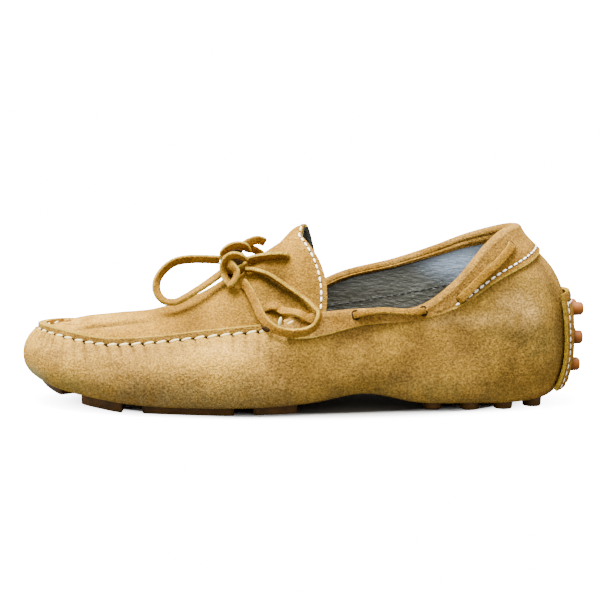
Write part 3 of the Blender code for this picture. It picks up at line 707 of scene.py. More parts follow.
thongSuede = suede("thong_suede", dict(camel, base="#765214", light="#926a22", patch=3, nap=0.7))
liningLeather = leather(
    "lining_leather", {"base": "#41433c", "shade": "#34342c", "roughness": 0.36}, liningPaintedLight)
# The sole's rubber is a darker copy of the studs' gum rubber, painted shade for the shadow under the
# shoe
shadedSoleRubber = rubber("gum_rubber_sole_shaded", {"base": "#4a2e06", "shade": "#342003"})
studRubber = rubber("gum_rubber_studs", {"base": "#6c3a01", "shade": "#562c01"})
creamThread = thread("cream_waxed_thread", {"base": "#d6c88e", "shade": "#b3a468"})
whiteThread = thread("white_cotton_thread", {"base": "#faf6ea", "shade": "#dcd4bc"})
greyThread = thread("grey_lining_thread", {"base": "#24241f", "shade": "#181814"})
# Painted shadow for needle holes, lace holes and the knot's middle
needleHole = suede("needle_hole_shadow", {
    "base": "#2a1c0c", "shade": "#1e1408", "light": "#342410", "deep": "#140c04", "sheen": 0.0})
print("materials ready")


# Lace bow: flat thongs along the CAD routes, in millimetres, with the turn of the flat side
laceCut = {"width": 0.0044, "thickness": 0.0021, "knotWidth": 0.0040, "knotThickness": 0.0019}
bow = {
    "lace_loop_toe": {
        "route": [
            (-39.5, -2.5, 70.8), (-46, -3, 71.1), (-54, -4, 71.2), (-60.5, -5, 70.2),
            (-65.3, -7, 67.4), (-68.9, -9, 63.1), (-70, -11.5, 58.9), (-68.8, -13.5, 54.7),
            (-65.7, -14.5, 51.8), (-62, -14.5, 51.1), (-58.5, -14, 51.9), (-50.4, -12, 56.5),
            (-45, -10, 60), (-40.2, -8.5, 63.4), (-36, -7, 66.4)],
        "rolls": [62, 62, 60, 55, 48, 42, 38, 34, 28, 24, 24, 28, 32, 35, 40],
        "centre": (-58, -9, 62),
        "farEnd": "knot",
    },
    "lace_loop_heel": {
        "route": [
            (-26.4, -10, 66.6), (-22.1, -10.7, 66.3), (-15.8, -14.2, 64.8), (-9.7, -18.4, 61.6),
            (-3.4, -23, 57.8), (2.9, -28, 53.9), (7.1, -34.5, 50.9), (8.7, -40.6, 48.3),
            (7, -42.7, 43.4), (2.8, -42.8, 40.8), (-3.2, -42.2, 39.8), (-9.4, -39.5, 40.5),
            (-14.1, -36.5, 42.4), (-18, -31.5, 46.1), (-21, -25, 51.4), (-24.2, -18.5, 56.8),
            (-27.5, -13.5, 60.6)],
        "rolls": [20, 20, 18, 15, 12, 8, 0, -12, -35, -58, -68, -70, -70, -68, -68, -66, -62],
        "centre": (-6, -30, 51),
        "farEnd": "knot",
    },
    "lace_end_near": {
        "route": [
            (-26.8, -5.6, 70.4), (-20.6, -5, 71.9), (-14.8, -8, 73.1), (-9.8, -10.4, 73.7),
            (-5.6, -12.6, 73.4)],
        "rolls": [50, 48, 40, 35, 35],
        "centre": (-16, -8, 40),
        "farEnd": "bare",
    },
    "lace_end_far": {
        "route": [
            (-32, -1.6, 75.2), (-28.6, 1.6, 77), (-25.1, 4, 79), (-21.2, 6, 80), (-17.7, 8, 78.8)],
        "rolls": [60, 62, 66, 70, 72],
        "centre": (-22, 4, 50),
        "farEnd": "bare",
    },
}
knotCore = (-32.4, -4.0, 69.2)
shortestCord = 0.030  # metres, the length that each thong of the bow is compared with


def routeValue(points, share):
    # A smooth curve through points or numbers: share 0 is the first and 1 the last
    along = share * (len(points) - 1)
    first = min(int(along), len(points) - 2)
    rows = [points[min(max(first + step, 0), len(points) - 1)] for step in (-1, 0, 1, 2)]
    if isinstance(points[0], (tuple, list)):
        return Vector([hermite(*values, along - first) for values in zip(*rows)])
    return hermite(*rows, along - first)


def thongSpots(strand, steps):
    # Place, width direction and thickness direction along a strand
    centre = Vector(strand["centre"]) / 1000
    spots = []
    for share in spread(0, 1, steps):
        spot = routeValue(strand["route"], share) / 1000
        along = (routeValue(strand["route"], min(share + 0.01, 1))
                 - routeValue(strand["route"], max(share - 0.01, 0))).normalized()
        away = Vector((0, 1, 0)) - along * along.y
        away.normalize()
        inward = centre - spot
        inward = inward - along * inward.dot(along) - away * inward.dot(away)
        inward.normalize()
        roll = math.radians(routeValue(strand["rolls"], share))
        across = (away * math.cos(roll) + inward * math.sin(roll)).normalized()
        spots.append((spot, across, along.cross(across).normalized()))
    return spots


def addThong(grid, spots, width, thickness, sides=20, seed=0):
    # A flat strip with softly rounded cut edges, as a tube that is closed at both ends
    columns = list(range(len(spots)))

    def thongPoint(column, row):
        spot, across, normal = spots[column]
        angle = 2 * math.pi * row / sides
        wide = math.copysign(abs(math.cos(angle)) ** 0.35, math.cos(angle)) * width / 2
        thick = math.copysign(abs(math.sin(angle)) ** 0.5, math.sin(angle)) * thickness / 2
        fray = noise.noise((spot + across * wide * 2) * 900 + Vector((seed, 0, 0))) * 0.00016
        return spot + across * (wide + fray) + normal * thick

    def thongPaint(column, row):
        return 1 if abs(math.cos(2 * math.pi * row / sides)) > 0.90 else 0

    strip = drape(columns, list(range(sides + 1)), thongPoint, thongPaint)
    bmesh.ops.holes_fill(strip, edges=[edge for edge in strip.edges if edge.is_boundary])
    for face in strip.faces:
        if len(face.verts) > 4:
            face.material_index = 1
    bmesh.ops.recalc_face_normals(strip, faces=strip.faces)
    joinInto(grid, strip)


def routeLength(strand):
    fine = [routeValue(strand["route"], share) / 1000 for share in spread(0, 1, 200)]
    return sum((after - before).length for before, after in zip(fine, fine[1:]))


def makeBow():
    knotRoutes = [
        {"route": [(-26.5, -10.5, 71.5), (-28.6, -12.5, 73.2), (-32, -13, 73.9), (-35.4, -12, 72.4),
                   (-37.3, -11, 69), (-37.2, -11, 65.2), (-35.6, -12.5, 61.6), (-32.8, -15, 58.8)],
         "rolls": [30, 40, 45, 45, 40, 35, 30, 25], "centre": (-31, -8, 66)},
        {"route": [(-37.2, -4, 70), (-37.6, -6, 74.2), (-34.8, -8, 77.2), (-30.8, -7, 78.4),
                   (-27.2, -4, 77.6), (-25.6, 0, 75)],
         "rolls": [40, 45, 50, 55, 50, 45], "centre": (-31, 0, 70)},
        {"route": [(-34.5, -11, 70), (-32.6, -13.5, 68.4), (-30.6, -14.6, 65.8), (-31.4, -15.4, 62.4),
                   (-33.4, -15.6, 59.6)],
         "rolls": [70, 60, 40, 30, 30], "centre": (-40, -8, 60)},
        {"route": [(-38.4, -2, 67), (-36, -7.5, 66.2), (-31.5, -10, 66.4), (-27.6, -8.4, 67.6),
                   (-26, -4, 69)],
         "rolls": [60, 55, 50, 50, 50], "centre": (-32, -4, 60)},
        {"route": [(-25, 6, 75.8), (-22.4, 9, 74.6), (-19.6, 11.5, 72.6)],
         "rolls": [60, 60, 60], "centre": (-22, 8, 50)},
    ]
    grid = bmesh.new()
    for number, strand in enumerate(knotRoutes):
        addThong(
            grid, thongSpots(strand, 28), laceCut["knotWidth"], laceCut["knotThickness"], 16, number)
    # A ball in the knot's middle, its front half painted dark as the shade that shows between the wraps
    core = bmesh.ops.create_icosphere(grid, subdivisions=3, radius=0.001)
    bmesh.ops.scale(grid, verts=core["verts"], vec=(6.2, 3.4, 7.4))
    bmesh.ops.translate(grid, verts=core["verts"], vec=Vector(knotCore) / 1000)
    for face in {face for vertex in core["verts"] for face in vertex.link_faces}:
        face.material_index = 2 if face.calc_center_median().y < knotCore[1] / 1000 else 0
    knot = newPiece("lace_knot_wraps", grid, [thongSuede, rawEdge, needleHole], ["lace_knot"])
    for number, (node, strand) in enumerate(bow.items()):
        grid = bmesh.new()
        length = routeLength(strand)
        steps = round(length / 0.0009)
        addThong(grid, thongSpots(strand, steps), laceCut["width"], laceCut["thickness"], 20, number * 7)
        piece = newPiece(node + "_thong", grid, [thongSuede, rawEdge], [node])
        points = [routeValue(strand["route"], share) / 1000 for share in spread(0, 1, 40)]
        if length >= shortestCord:
            tuple(points[0])
        print(node, "thong length", round(length * 1000, 1), "mm")


makeBow()
print("bow tied")


# Relief of the hull: gathers below the toe seam, the stitch groove, worn folds
gathers = {"pitch": 0.0061, "end": 6.15, "fineEnd": 2.0, "depth": 2.1, "sideDepth": 0.8,
           "reach": 13.0, "sideReach": 11.0, "levelSize": 25}
random.seed(7)
gatherLook = [(0.55 + 0.9 * random.random(), 0.6 + 0.9 * random.random()) for _ in range(80)]

arcStep = 0.05  # sections between two measured places on the seam
arcSteps = 180
arcLengths = {}
for side in (1, -1):
    total = 0.0
    lengths = [0.0]
    for number in range(1, arcSteps + 1):
        before = hullSkin(side * (number - 1) * arcStep, levelSeam)
        total += (hullSkin(side * number * arcStep, levelSeam) - before).length
        lengths.append(total)
    arcLengths[side] = lengths


def seamArc(turn):
    # Length along the seam from the toe, negative on the inner side
    side = 1 if turn >= 0 else -1
    steps = abs(turn) / arcStep
    first = min(int(steps), arcSteps - 1)
    lengths = arcLengths[side]
    return side * (lengths[first] + (lengths[first + 1] - lengths[first]) * (steps - first))


# Soft troughs and ridges worn into the hull: signed section, level, half sizes in millimetres,
# slant in degrees and depth in millimetres
Dent = namedtuple("Dent", "turn level long wide slant depth")
hullDents = [
    Dent(3.9, 1.75, 20, 6, 12, -0.4),
    Dent(3.2, 2.25, 16, 5, -24, -0.5),
    Dent(4.5, 2.35, 26, 7, 6, 0.7),
    Dent(5.9, 2.5, 18, 4, -18, -0.4),
    Dent(6.6, 2.1, 22, 6, -30, -0.5),
    Dent(7.7, 2.45, 16, 4, 14, -0.5),
    Dent(8.6, 1.9, 22, 7, 24, -0.5),
    Dent(10.0, 2.3, 14, 5, -40, -0.5),
    Dent(11.0, 1.8, 16, 7, 60, -0.6),
    Dent(11.6, 2.5, 14, 5, -30, 0.6),
    Dent(9.4, 2.75, 16, 4, 8, 0.7),
    Dent(12.6, 2.3, 12, 5, 70, -0.6),
    Dent(-3.4, 2.3, 18, 5, 18, -0.6),
    Dent(-5.2, 2.2, 24, 7, -14, -0.9),
    Dent(-7.2, 2.3, 20, 6, 26, -0.8),
    Dent(-9.2, 2.2, 20, 6, -20, -0.7),
    Dent(-11.4, 2.2, 16, 6, 50, -0.8),
]


# Millimetres that a section and a level span near the dents, and how many half lengths away a
# dent of the hull ends
dentScale = {"section": 24, "hullLevel": 24, "apronLevel": 32, "reach": 2.2}


def dentPush(dent, along, up):
    # What a dent adds at so many millimetres along and up from its middle
    slant = math.radians(dent.slant)
    lengthwise = along * math.cos(slant) + up * math.sin(slant)
    crosswise = up * math.cos(slant) - along * math.sin(slant)
    return dent.depth * math.exp(-(lengthwise / dent.long) ** 2 - (crosswise / dent.wide) ** 2)


def dentRelief(turn, level):
    total = 0.0
    for dent in hullDents:
        along = (turn - dent.turn) * dentScale["section"]
        up = (level - dent.level) * dentScale["hullLevel"]
        if max(abs(along), abs(up)) <= dent.long * dentScale["reach"]:
            total += dentPush(dent, along, up)
    return total


def gatherRelief(turn, level):
    # Folds that fan out below the seam, one between each two stitches
    if abs(turn) > gathers["end"] or level < 2.0 or level > levelSeam:
        return 0.0
    toe = 1 - smooth(abs(turn) / 4.2)
    arc = seamArc(turn) / gathers["pitch"] * (2 if abs(turn) < gathers["fineEnd"] else 1)
    number = math.floor(arc)
    depthLook, reachLook = gatherLook[number % len(gatherLook)]
    fold = 0.42 - 1.42 * hump(abs(arc - round(arc)), 0, 0.15)
    reach = (gathers["sideReach"] + (gathers["reach"] - gathers["sideReach"]) * toe) * reachLook
    depth = (gathers["sideDepth"] + (gathers["depth"] - gathers["sideDepth"]) * toe) * depthLook
    down = (levelSeam - level) * gathers["levelSize"]
    return depth * fold * math.exp(-(down / reach) ** 1.6)


def hullRelief(turn, level):
    # Millimetres out of the hull's plain surface
    turn = signedTurn(turn)
    relief = gatherRelief(turn, level)
    front = 1 - rearShare(turn)
    relief -= 0.7 * front * hump(level, 3.02, 0.035)
    relief += 0.35 * front * hump(level, 2.88, 0.06)
    if level > 1:
        relief += dentRelief(turn, level) * smooth((level - 1) / 0.4) * smooth((3 - level) / 0.25)
    return relief


hullCut = {"frontColumns": 26, "rearColumns": 14, "footRows": 6, "bulgeRows": 14, "sideRows": 26}


def hullColumns():
    columns = []
    for section in range(fullTurn):
        steps = hullCut["frontColumns"] if sideTurn(section + 0.5) < 6.5 else hullCut["rearColumns"]
        columns += [section + step / steps for step in range(steps)]
    return columns + [fullTurn]


def makeHull():
    rows = (spread(0, 1, hullCut["footRows"])[:-1] + spread(1, 2, hullCut["bulgeRows"])[:-1]
            + spread(2, 2.8, hullCut["sideRows"] - 8)[:-1] + spread(2.8, 3.1, 9)[:-1]
            + spread(3.1, 4, 4))

    def point(turn, level):
        relief = hullRelief(turn, level)
        return hullPoint(turn, level, relief / 1000), relief

    grid = drape(hullColumns(), rows, point)
    piece = newPiece("upper_hull", grid, [hullSuede, bandSuede, rawEdge], ["upper"])
    addWall(piece, wall["upper"], rim=2, back=1)
    roundEdges(piece, 0.0004)
    return piece


makeHull()
print("hull draped")


# Apron: shallow folds across the vamp and beside the toe seam
apronDents = [
    Dent(1.8, 0.62, 14, 1.2, 6, -0.5),
    Dent(2.9, 0.60, 16, 1.2, -2, -0.45),
    Dent(-2.4, 0.60, 16, 1.5, 6, -0.4),
    Dent(4.7, 0.70, 8, 10, 0, -0.8),
    Dent(6.4, 0.55, 10, 6, 40, -1.0),
    Dent(5.6, 0.35, 12, 5, -30, 0.7),
    Dent(-5.4, 0.55, 14, 6, 30, -0.8),
    Dent(7.1, 0.35, 14, 5, 60, 0.6),
]


# Creases pressed into the vamp by the toes, in millimetres in side view: X, Z and depth
vampCrease = [(-113, 36.5, 0.5), (-103, 38.6, 0.9), (-92, 40.2, 1.0), (-81, 41.6, 0.9), (-70, 42.2, 0.4)]


def creaseRelief(spot):
    if spot.y > 0:
        return 0.0
    total = 0.0
    for first, last in zip(vampCrease, vampCrease[1:]):
        share = (spot.x * 1000 - first[0]) / (last[0] - first[0])
        if 0 <= share < 1:
            height = first[1] + (last[1] - first[1]) * share
            depth = first[2] + (last[2] - first[2]) * share
            off = spot.z * 1000 - height
            total -= depth * (hump(off, 0, 0.7) - 0.35 * hump(off, 1.6, 1.2))
    return total


def apronRelief(turn, level):
    total = 0.0
    if level <= 1:
        total += creaseRelief(apronSkin(turn, level))
        for dent in apronDents:
            along = (turn - dent.turn) * dentScale["section"]
            up = (level - dent.level) * dentScale["apronLevel"]
            if math.copysign(1, dent.turn) == math.copysign(1, turn):
                total += dentPush(dent, along, up)
        front = 1 - smooth((abs(turn) - 5.6) / 0.6)
        arc = seamArc(turn) / gathers["pitch"]
        total += 0.25 * front * (abs(math.sin(math.pi * arc)) - 0.5) * hump(level, 1.0, 0.09)
        total -= 0.5 * front * hump(level, 0.99, 0.03)
    flap = hump(abs(turn), 7.85, 0.05)
    return total - 0.35 * flap


apronCut = {"columns": 560, "rows": 40, "linedFrom": 6.0}


def makeApron():
    columns = spread(-apronEnd, apronEnd, apronCut["columns"])
    rows = spread(0, 0.85, apronCut["rows"])[:-1] + spread(0.85, 1, 10)[:-1] + spread(1, 2, 4)

    def point(turn, level):
        relief = apronRelief(turn, level)
        spot = apronSkin(turn, level)
        if level <= 1:
            normal = normalOf(apronSkin, min(max(turn, -7.97), 7.97), max(level, 0.03), 1.0)
            spot = spot - normal * (relief / 1000)
        return spot, relief

    # The lining shows on the tongue's back only; in front the wall's back is plain suede
    grid = drape(columns, rows, point, lambda turn, level: 0 if abs(turn) > apronCut["linedFrom"] else 3)
    bmesh.ops.reverse_faces(grid, faces=grid.faces)
    looks = [apronSuede, liningLeather, rawEdge, apronSuede, apronSuede, rawEdge]
    piece = newPiece("apron_plug", grid, looks, ["apron"])
    addWall(piece, wall["apron"], rim=2, back=1)
    roundEdges(piece, 0.0004)
    return piece


makeApron()
print("apron set in")


# Collar band: the folded strip, puffed where the lace runs inside it
bandCut = {"columns": 360, "outRows": 26, "foldRows": 10, "inRows": 10, "stitchRow": 0.15}


def bandRelief(turn, row):
    relief = 0.45 * hump(row, 0.92, 0.22) * smooth((sideTurn(turn) - 7) / 1.5)
    relief += 0.35 * hump(row, 2.55, 0.22) - 0.45 * hump(row, 2.15, 0.06)
    rear = smooth((sideTurn(turn) - 9.2) / 0.6)
    relief -= 0.30 * hump(row, bandCut["stitchRow"], 0.07) * rear
    relief += 0.12 * math.sin(sideTurn(turn) * 9.0) * hump(row, 0.7, 0.4)
    return relief


def makeBand():
    columns = spread(seams["bandStart"], fullTurn - seams["bandStart"], bandCut["columns"])
    rows = spread(0, 1, bandCut["outRows"])[:-1] + spread(1, 2, bandCut["foldRows"])[:-1] + \
        spread(2, 3, bandCut["inRows"])

    def point(turn, row):
        relief = bandRelief(turn, row)
        if row > 2 and signedTurn(turn) < 0:
            # The far side's hem is short in front
            row = 2 + (row - 2) * (0.25 + 0.5 * smooth((sideTurn(turn) - 8) / 4))
        normal = normalOf(bandSkin, turn, min(max(row, 0.02), 2.98))
        return bandSkin(turn, row) + normal * (relief / 1000), relief

    grid = drape(columns, rows, point, lambda turn, row: 1 if row < 0.03 else 0)
    piece = newPiece("collar_band_fold", grid, [bandSuede, rawEdge, rawEdge], ["collar_band"])
    addWall(piece, wall["band"], rim=1)
    roundEdges(piece, 0.0005)
    return piece


makeBand()
print("collar band folded")


# Inside: lining and insole
def makeLining():
    def point(turn, row):
        low = 1.05
        high = bandLevel(turn, hullSkin(turn, levelSeam).z - 0.0012, 0)
        level = low + (high - low) * row
        inside = wall["upper"] + 0.0004
        fold = smooth(row / 0.15) * smooth((1 - row) / 0.25)
        spot = hullSkin(turn, level)
        wave = math.sin(spot.x * 1500 + spot.z * 900 + 3 * noise.noise(spot * 60))
        crinkle = noise.noise(Vector((spot.x * 420, spot.y * 420, spot.z * 220)))
        relief = fold * (0.035 * wave + 0.22 * max(0.0, crinkle))
        reliefAndPaintedLight = min(0.0, hullRelief(turn, level)) / 1000
        return hullPoint(turn, level, reliefAndPaintedLight - inside - relief / 1000)

    columns = spread(6.3, fullTurn - 6.3, 420)
    grid = drape(columns, spread(0, 1, 40), point)
    bmesh.ops.reverse_faces(grid, faces=grid.faces)
    piece = newPiece("collar_lining", grid, [liningLeather])
    addWall(piece, 0.0001)
    depth = wall["upper"] + wall["plate"] + 2 * shoe["gap"]
    grid = drape(
        spread(0, fullTurn, 280), spread(0, 0.97, 8) + [1.02, 1.06, 1.1],
        lambda turn, level: hullPoint(turn, level, -depth))
    piece = newPiece("insole_sock", grid, [liningLeather], ["insole"])
    addWall(piece, wall["insole"])


makeLining()
print("lining and insole laid")


# Rubber soles
EdgePad = namedtuple("EdgePad", "start end inner outer height")
edgePads = [
    EdgePad(0.25, 1.80, 0.58, 1.10, 0.85),
    EdgePad(2.30, 3.15, 0.66, 1.03, 1.35),
    EdgePad(3.60, 5.42, 0.70, 1.0, 1.20),
    EdgePad(5.83, 6.69, 0.68, 1.0, 1.40),
]
NubRow = namedtuple("NubRow", "section shares height")
forefootNubs = [
    NubRow(2.60, (0.0,), 1.0), NubRow(3.10, (0.38,), 1.0), NubRow(3.70, (0.0, 0.42), 1.0),
    NubRow(4.30, (0.0, 0.43), 1.0), NubRow(4.90, (0.0, 0.43), 1.0), NubRow(5.50, (0.0, 0.43), 1.0),
    NubRow(6.10, (0.0, 0.42), 1.1),
]
heelNubs = [
    NubRow(9.36, (0.28, 0.82), 1.0), NubRow(10.25, (0.28, 0.82), 1.0),
    NubRow(11.08, (0.28, 0.80), 1.0), NubRow(12.20, (0.80,), 1.2),
]
soleCut = {"nubRadius": 0.0045, "heelNubRadius": 0.0049, "rounding": 0.0006, "seat": 0.0028}
touch = 1e-5  # metres within which a corner counts as on the rim of a pad, nub or stud


def shareSkin(turn, share, side):
    skin = hullSkin(side * turn, min(share, 1.0))
    if share > 1:
        skin = skin + (skin - centrePoint(turn)) * (share - 1)
    return skin


def addEdgePads(grid):
    for pad in edgePads:
        for side in (1, -1):
            steps = round((pad.end - pad.start) * 10)
            cut = 0.05
            far = [(turn, pad.outer) for turn in spread(pad.start + cut, pad.end - cut, steps)]
            near = [(turn, pad.inner) for turn in spread(pad.end - cut, pad.start + cut, steps)]
            ends = [(pad.end, pad.outer - 0.03), (pad.end, pad.inner + 0.03)]
            starts = [(pad.start, pad.inner + 0.03), (pad.start, pad.outer - 0.03)]
            outline = [shareSkin(turn, share, side) for turn, share in far + ends + near + starts]
            block = bmesh.new()
            face = block.faces.new([block.verts.new(point) for point in outline])
            raised = bmesh.ops.extrude_face_region(block, geom=[face])["geom"]
            lower = set(face.verts)
            for vertex in block.verts:
                if vertex in lower:
                    vertex.co.z = max(0.0, vertex.co.z - pad.height * shoe["lugHeight"])
                else:
                    vertex.co.z += soleCut["seat"]
            bmesh.ops.recalc_face_normals(block, faces=block.faces)
            roundRim(block, lambda vertex: vertex in lower, soleCut["rounding"])
            joinInto(grid, block)


def addNubs(grid, rows, radius):
    for row in rows:
        for share in row.shares:
            for side in ((1, -1) if share else (1,)):
                skin = hullSkin(side * row.section, share)
                low = max(0.0, skin.z - row.height * shoe["lugHeight"])
                high = skin.z + soleCut["seat"]
                block = bmesh.new()
                cone = bmesh.ops.create_cone(
                    block, cap_ends=True, segments=28, depth=high - low,
                    radius1=radius * 0.9, radius2=radius)
                bmesh.ops.translate(block, verts=cone["verts"], vec=(skin.x, skin.y, (high + low) / 2))
                roundRim(block, lambda vertex: vertex.co.z < low + touch, soleCut["rounding"])
                joinInto(grid, block)


def makeSole(name, node, start, end, nubs, radius, pads):
    grid = drape(
        spread(start, end, 120), spread(0, 0.97, 8),
        lambda turn, level: hullPoint(turn, level, -(wall["upper"] + shoe["gap"])))
    plate = newPiece(name + "_plate", grid, [shadedSoleRubber])
    addWall(plate, wall["plate"])
    grid = bmesh.new()
    if pads:
        addEdgePads(grid)
    addNubs(grid, nubs, radius)
    piece = newPiece(name + "_pads", grid, [shadedSoleRubber], [node])
    for face in piece.data.polygons:
        face.use_smooth = True
    piece.data.set_sharp_from_angle(angle=math.radians(35))
    return piece


makeSole("forefoot", "sole_forefoot", -7, 7, forefootNubs, soleCut["nubRadius"], True)
makeSole("heel", "sole_heel", 9, fullTurn - 9, heelNubs, soleCut["heelNubRadius"], False)
print("soles moulded")


# Heel patch with its rubber studs
tabCut = {"turn": 4 / 3, "low": 1.42, "high": 2.27, "studTurn": 0.55, "studRadius": 0.0037,
          "studProud": 0.0027, "studRounding": 0.0012, "sectionSize": 14.5, "levelSize": 46}
Stud = namedtuple("Stud", "up reach")
studs = [Stud(1.175, 1.0), Stud(0.825, 1.0), Stud(0.495, 0.6)]


def tabEdgeDistance(turn, level):
    # Millimetres to the patch's edge
    across = (tabCut["turn"] - abs(turn - heelTurn)) * tabCut["sectionSize"]
    up = min(level - tabCut["low"], tabCut["high"] - level) * tabCut["levelSize"]
    return min(across, up)


def makeHeelTab():
    def point(turn, level):
        inside = tabEdgeDistance(turn, level)
        stitchGroove = -0.55 * hump(inside, 3.0, 0.7)
        cutEdge = -0.3 * hump(inside, 0, 0.6)
        relief = stitchGroove + cutEdge + 0.25 * hump(inside, 5.5, 1.6)
        return hullPoint(turn, level, tabOut + relief / 1000), relief

    columns = spread(heelTurn - tabCut["turn"], heelTurn + tabCut["turn"], 90)
    rows = spread(tabCut["low"], tabCut["high"], 90)
    grid = drape(columns, rows, point)
    piece = newPiece("heel_patch", grid, [bandSuede, rawEdge], ["heel_tab"])
    addWall(piece, wall["tab"], rim=1)
    roundEdges(piece, 0.0004)


def makeStuds():
    grid = drape(
        spread(heelTurn - 1, heelTurn + 1, 30), spread(1.5, 2.2, 30),
        lambda turn, level: hullPoint(turn, level, shoe["gap"] + wall["strip"]))
    for stud in studs:
        for side in (1, -1):
            turn = heelTurn + side * tabCut["studTurn"]
            level = levelAtHeight(turn, stud.up * shoe["vampHeight"], levelFoot, levelSeam)
            seat = hullPoint(turn, level, shoe["gap"] + wall["strip"] / 2)
            tip = shoe["front"] + shoe["hullLength"] + tabOut + tabCut["studProud"] * stud.reach
            block = bmesh.new()
            cone = bmesh.ops.create_cone(
                block, cap_ends=True, segments=28, depth=tip - seat.x,
                radius1=tabCut["studRadius"], radius2=tabCut["studRadius"] * 0.86)
            turned = Vector((0, 0, 1)).rotation_difference(Vector((1, 0, 0))).to_matrix()
            bmesh.ops.rotate(block, verts=cone["verts"], matrix=turned)
            bmesh.ops.translate(block, verts=cone["verts"], vec=((tip + seat.x) / 2, seat.y, seat.z))
            roundRim(block, lambda vertex: vertex.co.x > tip - touch, tabCut["studRounding"], 4)
            joinInto(grid, block)
    newPiece("heel_stud_strip", grid, [studRubber], ["heel_studs"])


makeHeelTab()
makeStuds()
print("heel patch and studs fixed")


# Lace bars on the outside of the band and the apron
BarPoint = namedtuple("BarPoint", "surface section row lift")
laceBars = {
    "front": [
        BarPoint("apron", 5.96, 0.80, -1.3), BarPoint("apron", 6.14, 0.80, 0.3),
        BarPoint("apron", 6.35, 0.82, 0.75),
        BarPoint("apron", 6.58, 0.87, 0.9), BarPoint("band", 6.86, 1.20, 0.6),
        BarPoint("band", 7.02, 1.00, 0.1),
        BarPoint("band", 7.12, 0.74, 0), BarPoint("band", 7.17, 0.62, -1.6),
    ],
    "side": [
        BarPoint("band", 7.84, 0.84, -1.6), BarPoint("band", 7.92, 0.92, 0),
        BarPoint("band", 8.10, 1.04, 0.1), BarPoint("band", 8.35, 1.12, 0.2),
        BarPoint("band", 8.65, 1.12, 0.2), BarPoint("band", 8.95, 1.05, 0.1),
        BarPoint("band", 9.16, 0.95, 0), BarPoint("band", 9.24, 0.88, -1.6),
    ],
    "heel": [
        BarPoint("band", 10.04, 0.30, -1.6), BarPoint("band", 10.14, 0.31, 0.1),
        BarPoint("band", 10.65, 0.38, 0.25), BarPoint("band", 11.20, 0.43, 0.3),
        BarPoint("band", 11.60, 0.50, 0.3), BarPoint("band", 11.90, 0.57, 0.1),
        BarPoint("band", 11.98, 0.59, -1.6),
    ],
}
barCut = {"width": 0.0040, "sideWidth": 0.0030, "thickness": 0.0019}


def lifted(surface, turn, row, out):
    skin = {"apron": apronSkin, "band": bandSkin}[surface]
    normal = normalOf(skin, turn, row)
    point = skin(turn, row)
    if normal.dot(point - Vector((point.x, 0, shoe["vampHeight"] / 2))) < 0:
        normal.negate()
    return point + normal * out, normal


def makeLaceBars():
    # Dark patches painted as the shadow in the holes where each bar goes in and out
    holes = bmesh.new()
    for barName, route in laceBars.items():
        for sideName, side in (("outer", 1), ("inner", -1)):
            coarse = []
            for spot in route:
                out = shoe["gap"] * 0.5 + barCut["thickness"] * (0.55 + spot.lift)
                row = spot.row - (0.3 if side < 0 and spot.row > 1 else 0)
                coarse.append(lifted(spot.surface, side * spot.section, row, out))
            points = [tuple(point) for point, _ in coarse]
            normals = [tuple(normal) for _, normal in coarse]
            spots = []
            for share in spread(0, 1, 60):
                ahead = routeValue(points, min(share + 0.02, 1))
                along = (ahead - routeValue(points, max(share - 0.02, 0))).normalized()
                normal = routeValue(normals, share)
                normal = (normal - along * normal.dot(along)).normalized()
                spots.append((routeValue(points, share), normal.cross(along).normalized(), normal))
            grid = bmesh.new()
            width = barCut["sideWidth"] if barName == "side" else barCut["width"]
            addThong(grid, spots, width, barCut["thickness"], 16, len(points) + side)
            newPiece(f"lace_bar_{barName}_{sideName}_thong", grid, [thongSuede, rawEdge],
                     [f"lace_bar_{barName}_{sideName}"])
            for end, nextEnd in ((1, 2), (-2, -3)):
                point, normal = coarse[end]
                along = (coarse[nextEnd][0] - point).normalized()
                spot = point - normal * (barCut["thickness"] * 0.55) - along * 0.0008
                matrix = basis(spot, along, normal, (0.0022, 0.0026, 0.0005))
                bmesh.ops.create_uvsphere(holes, u_segments=16, v_segments=8, radius=1, matrix=matrix)
    # The hole where the ridge ends under the heel loop, painted dark as its shadow
    matrix = basis(Vector((-0.0160, -0.0396, 0.0414)), Vector((0.9, 0, -0.44)), Vector((0, -0.96, 0.28)),
                   (0.0021, 0.0012, 0.0009))
    bmesh.ops.create_uvsphere(holes, u_segments=16, v_segments=8, radius=1, matrix=matrix)
    newPiece("lace_holes", holes, [needleHole])


makeLaceBars()
print("lace bars threaded")


# Stitches
def onHull(level, out):
    def point(turn):
        relief = hullRelief(turn, level) / 1000
        return hullPoint(turn, level, out + relief), hullNormal(turn, level)
    return point


def onBand(row, out):
    def point(turn):
        normal = normalOf(bandSkin, turn, row)
        return bandSkin(turn, row) + normal * (out + bandRelief(turn, row) / 1000), normal
    return point


seamStitch = {"length": 0.0050, "width": 0.0015, "height": 0.0012, "hole": 0.0014, "tilt": 0.16}
bandStitch = {"length": 0.0026, "width": 0.0010, "height": 0.0008, "hole": 0.0008}
liningStitch = {"length": 0.0026, "width": 0.0007, "height": 0.0005}
ridgeStitch = {"length": 0.0032, "width": 0.0011, "height": 0.0008, "tilt": 0.3}
flapStitch = {"length": 0.0028, "width": 0.0010, "height": 0.0008, "hole": 0.0008}
ThreadTail = namedtuple("ThreadTail", "place along length width")
threadTails = [  # where the seam's thread is tied off beside the front bar
    ThreadTail((-0.0094, -0.0338, 0.0440), (0.18, 0.0, 1.0), 0.0048, 0.0018),
    ThreadTail((-0.0044, -0.0352, 0.0439), (1.0, 0.0, 0.5), 0.0036, 0.0012),
]


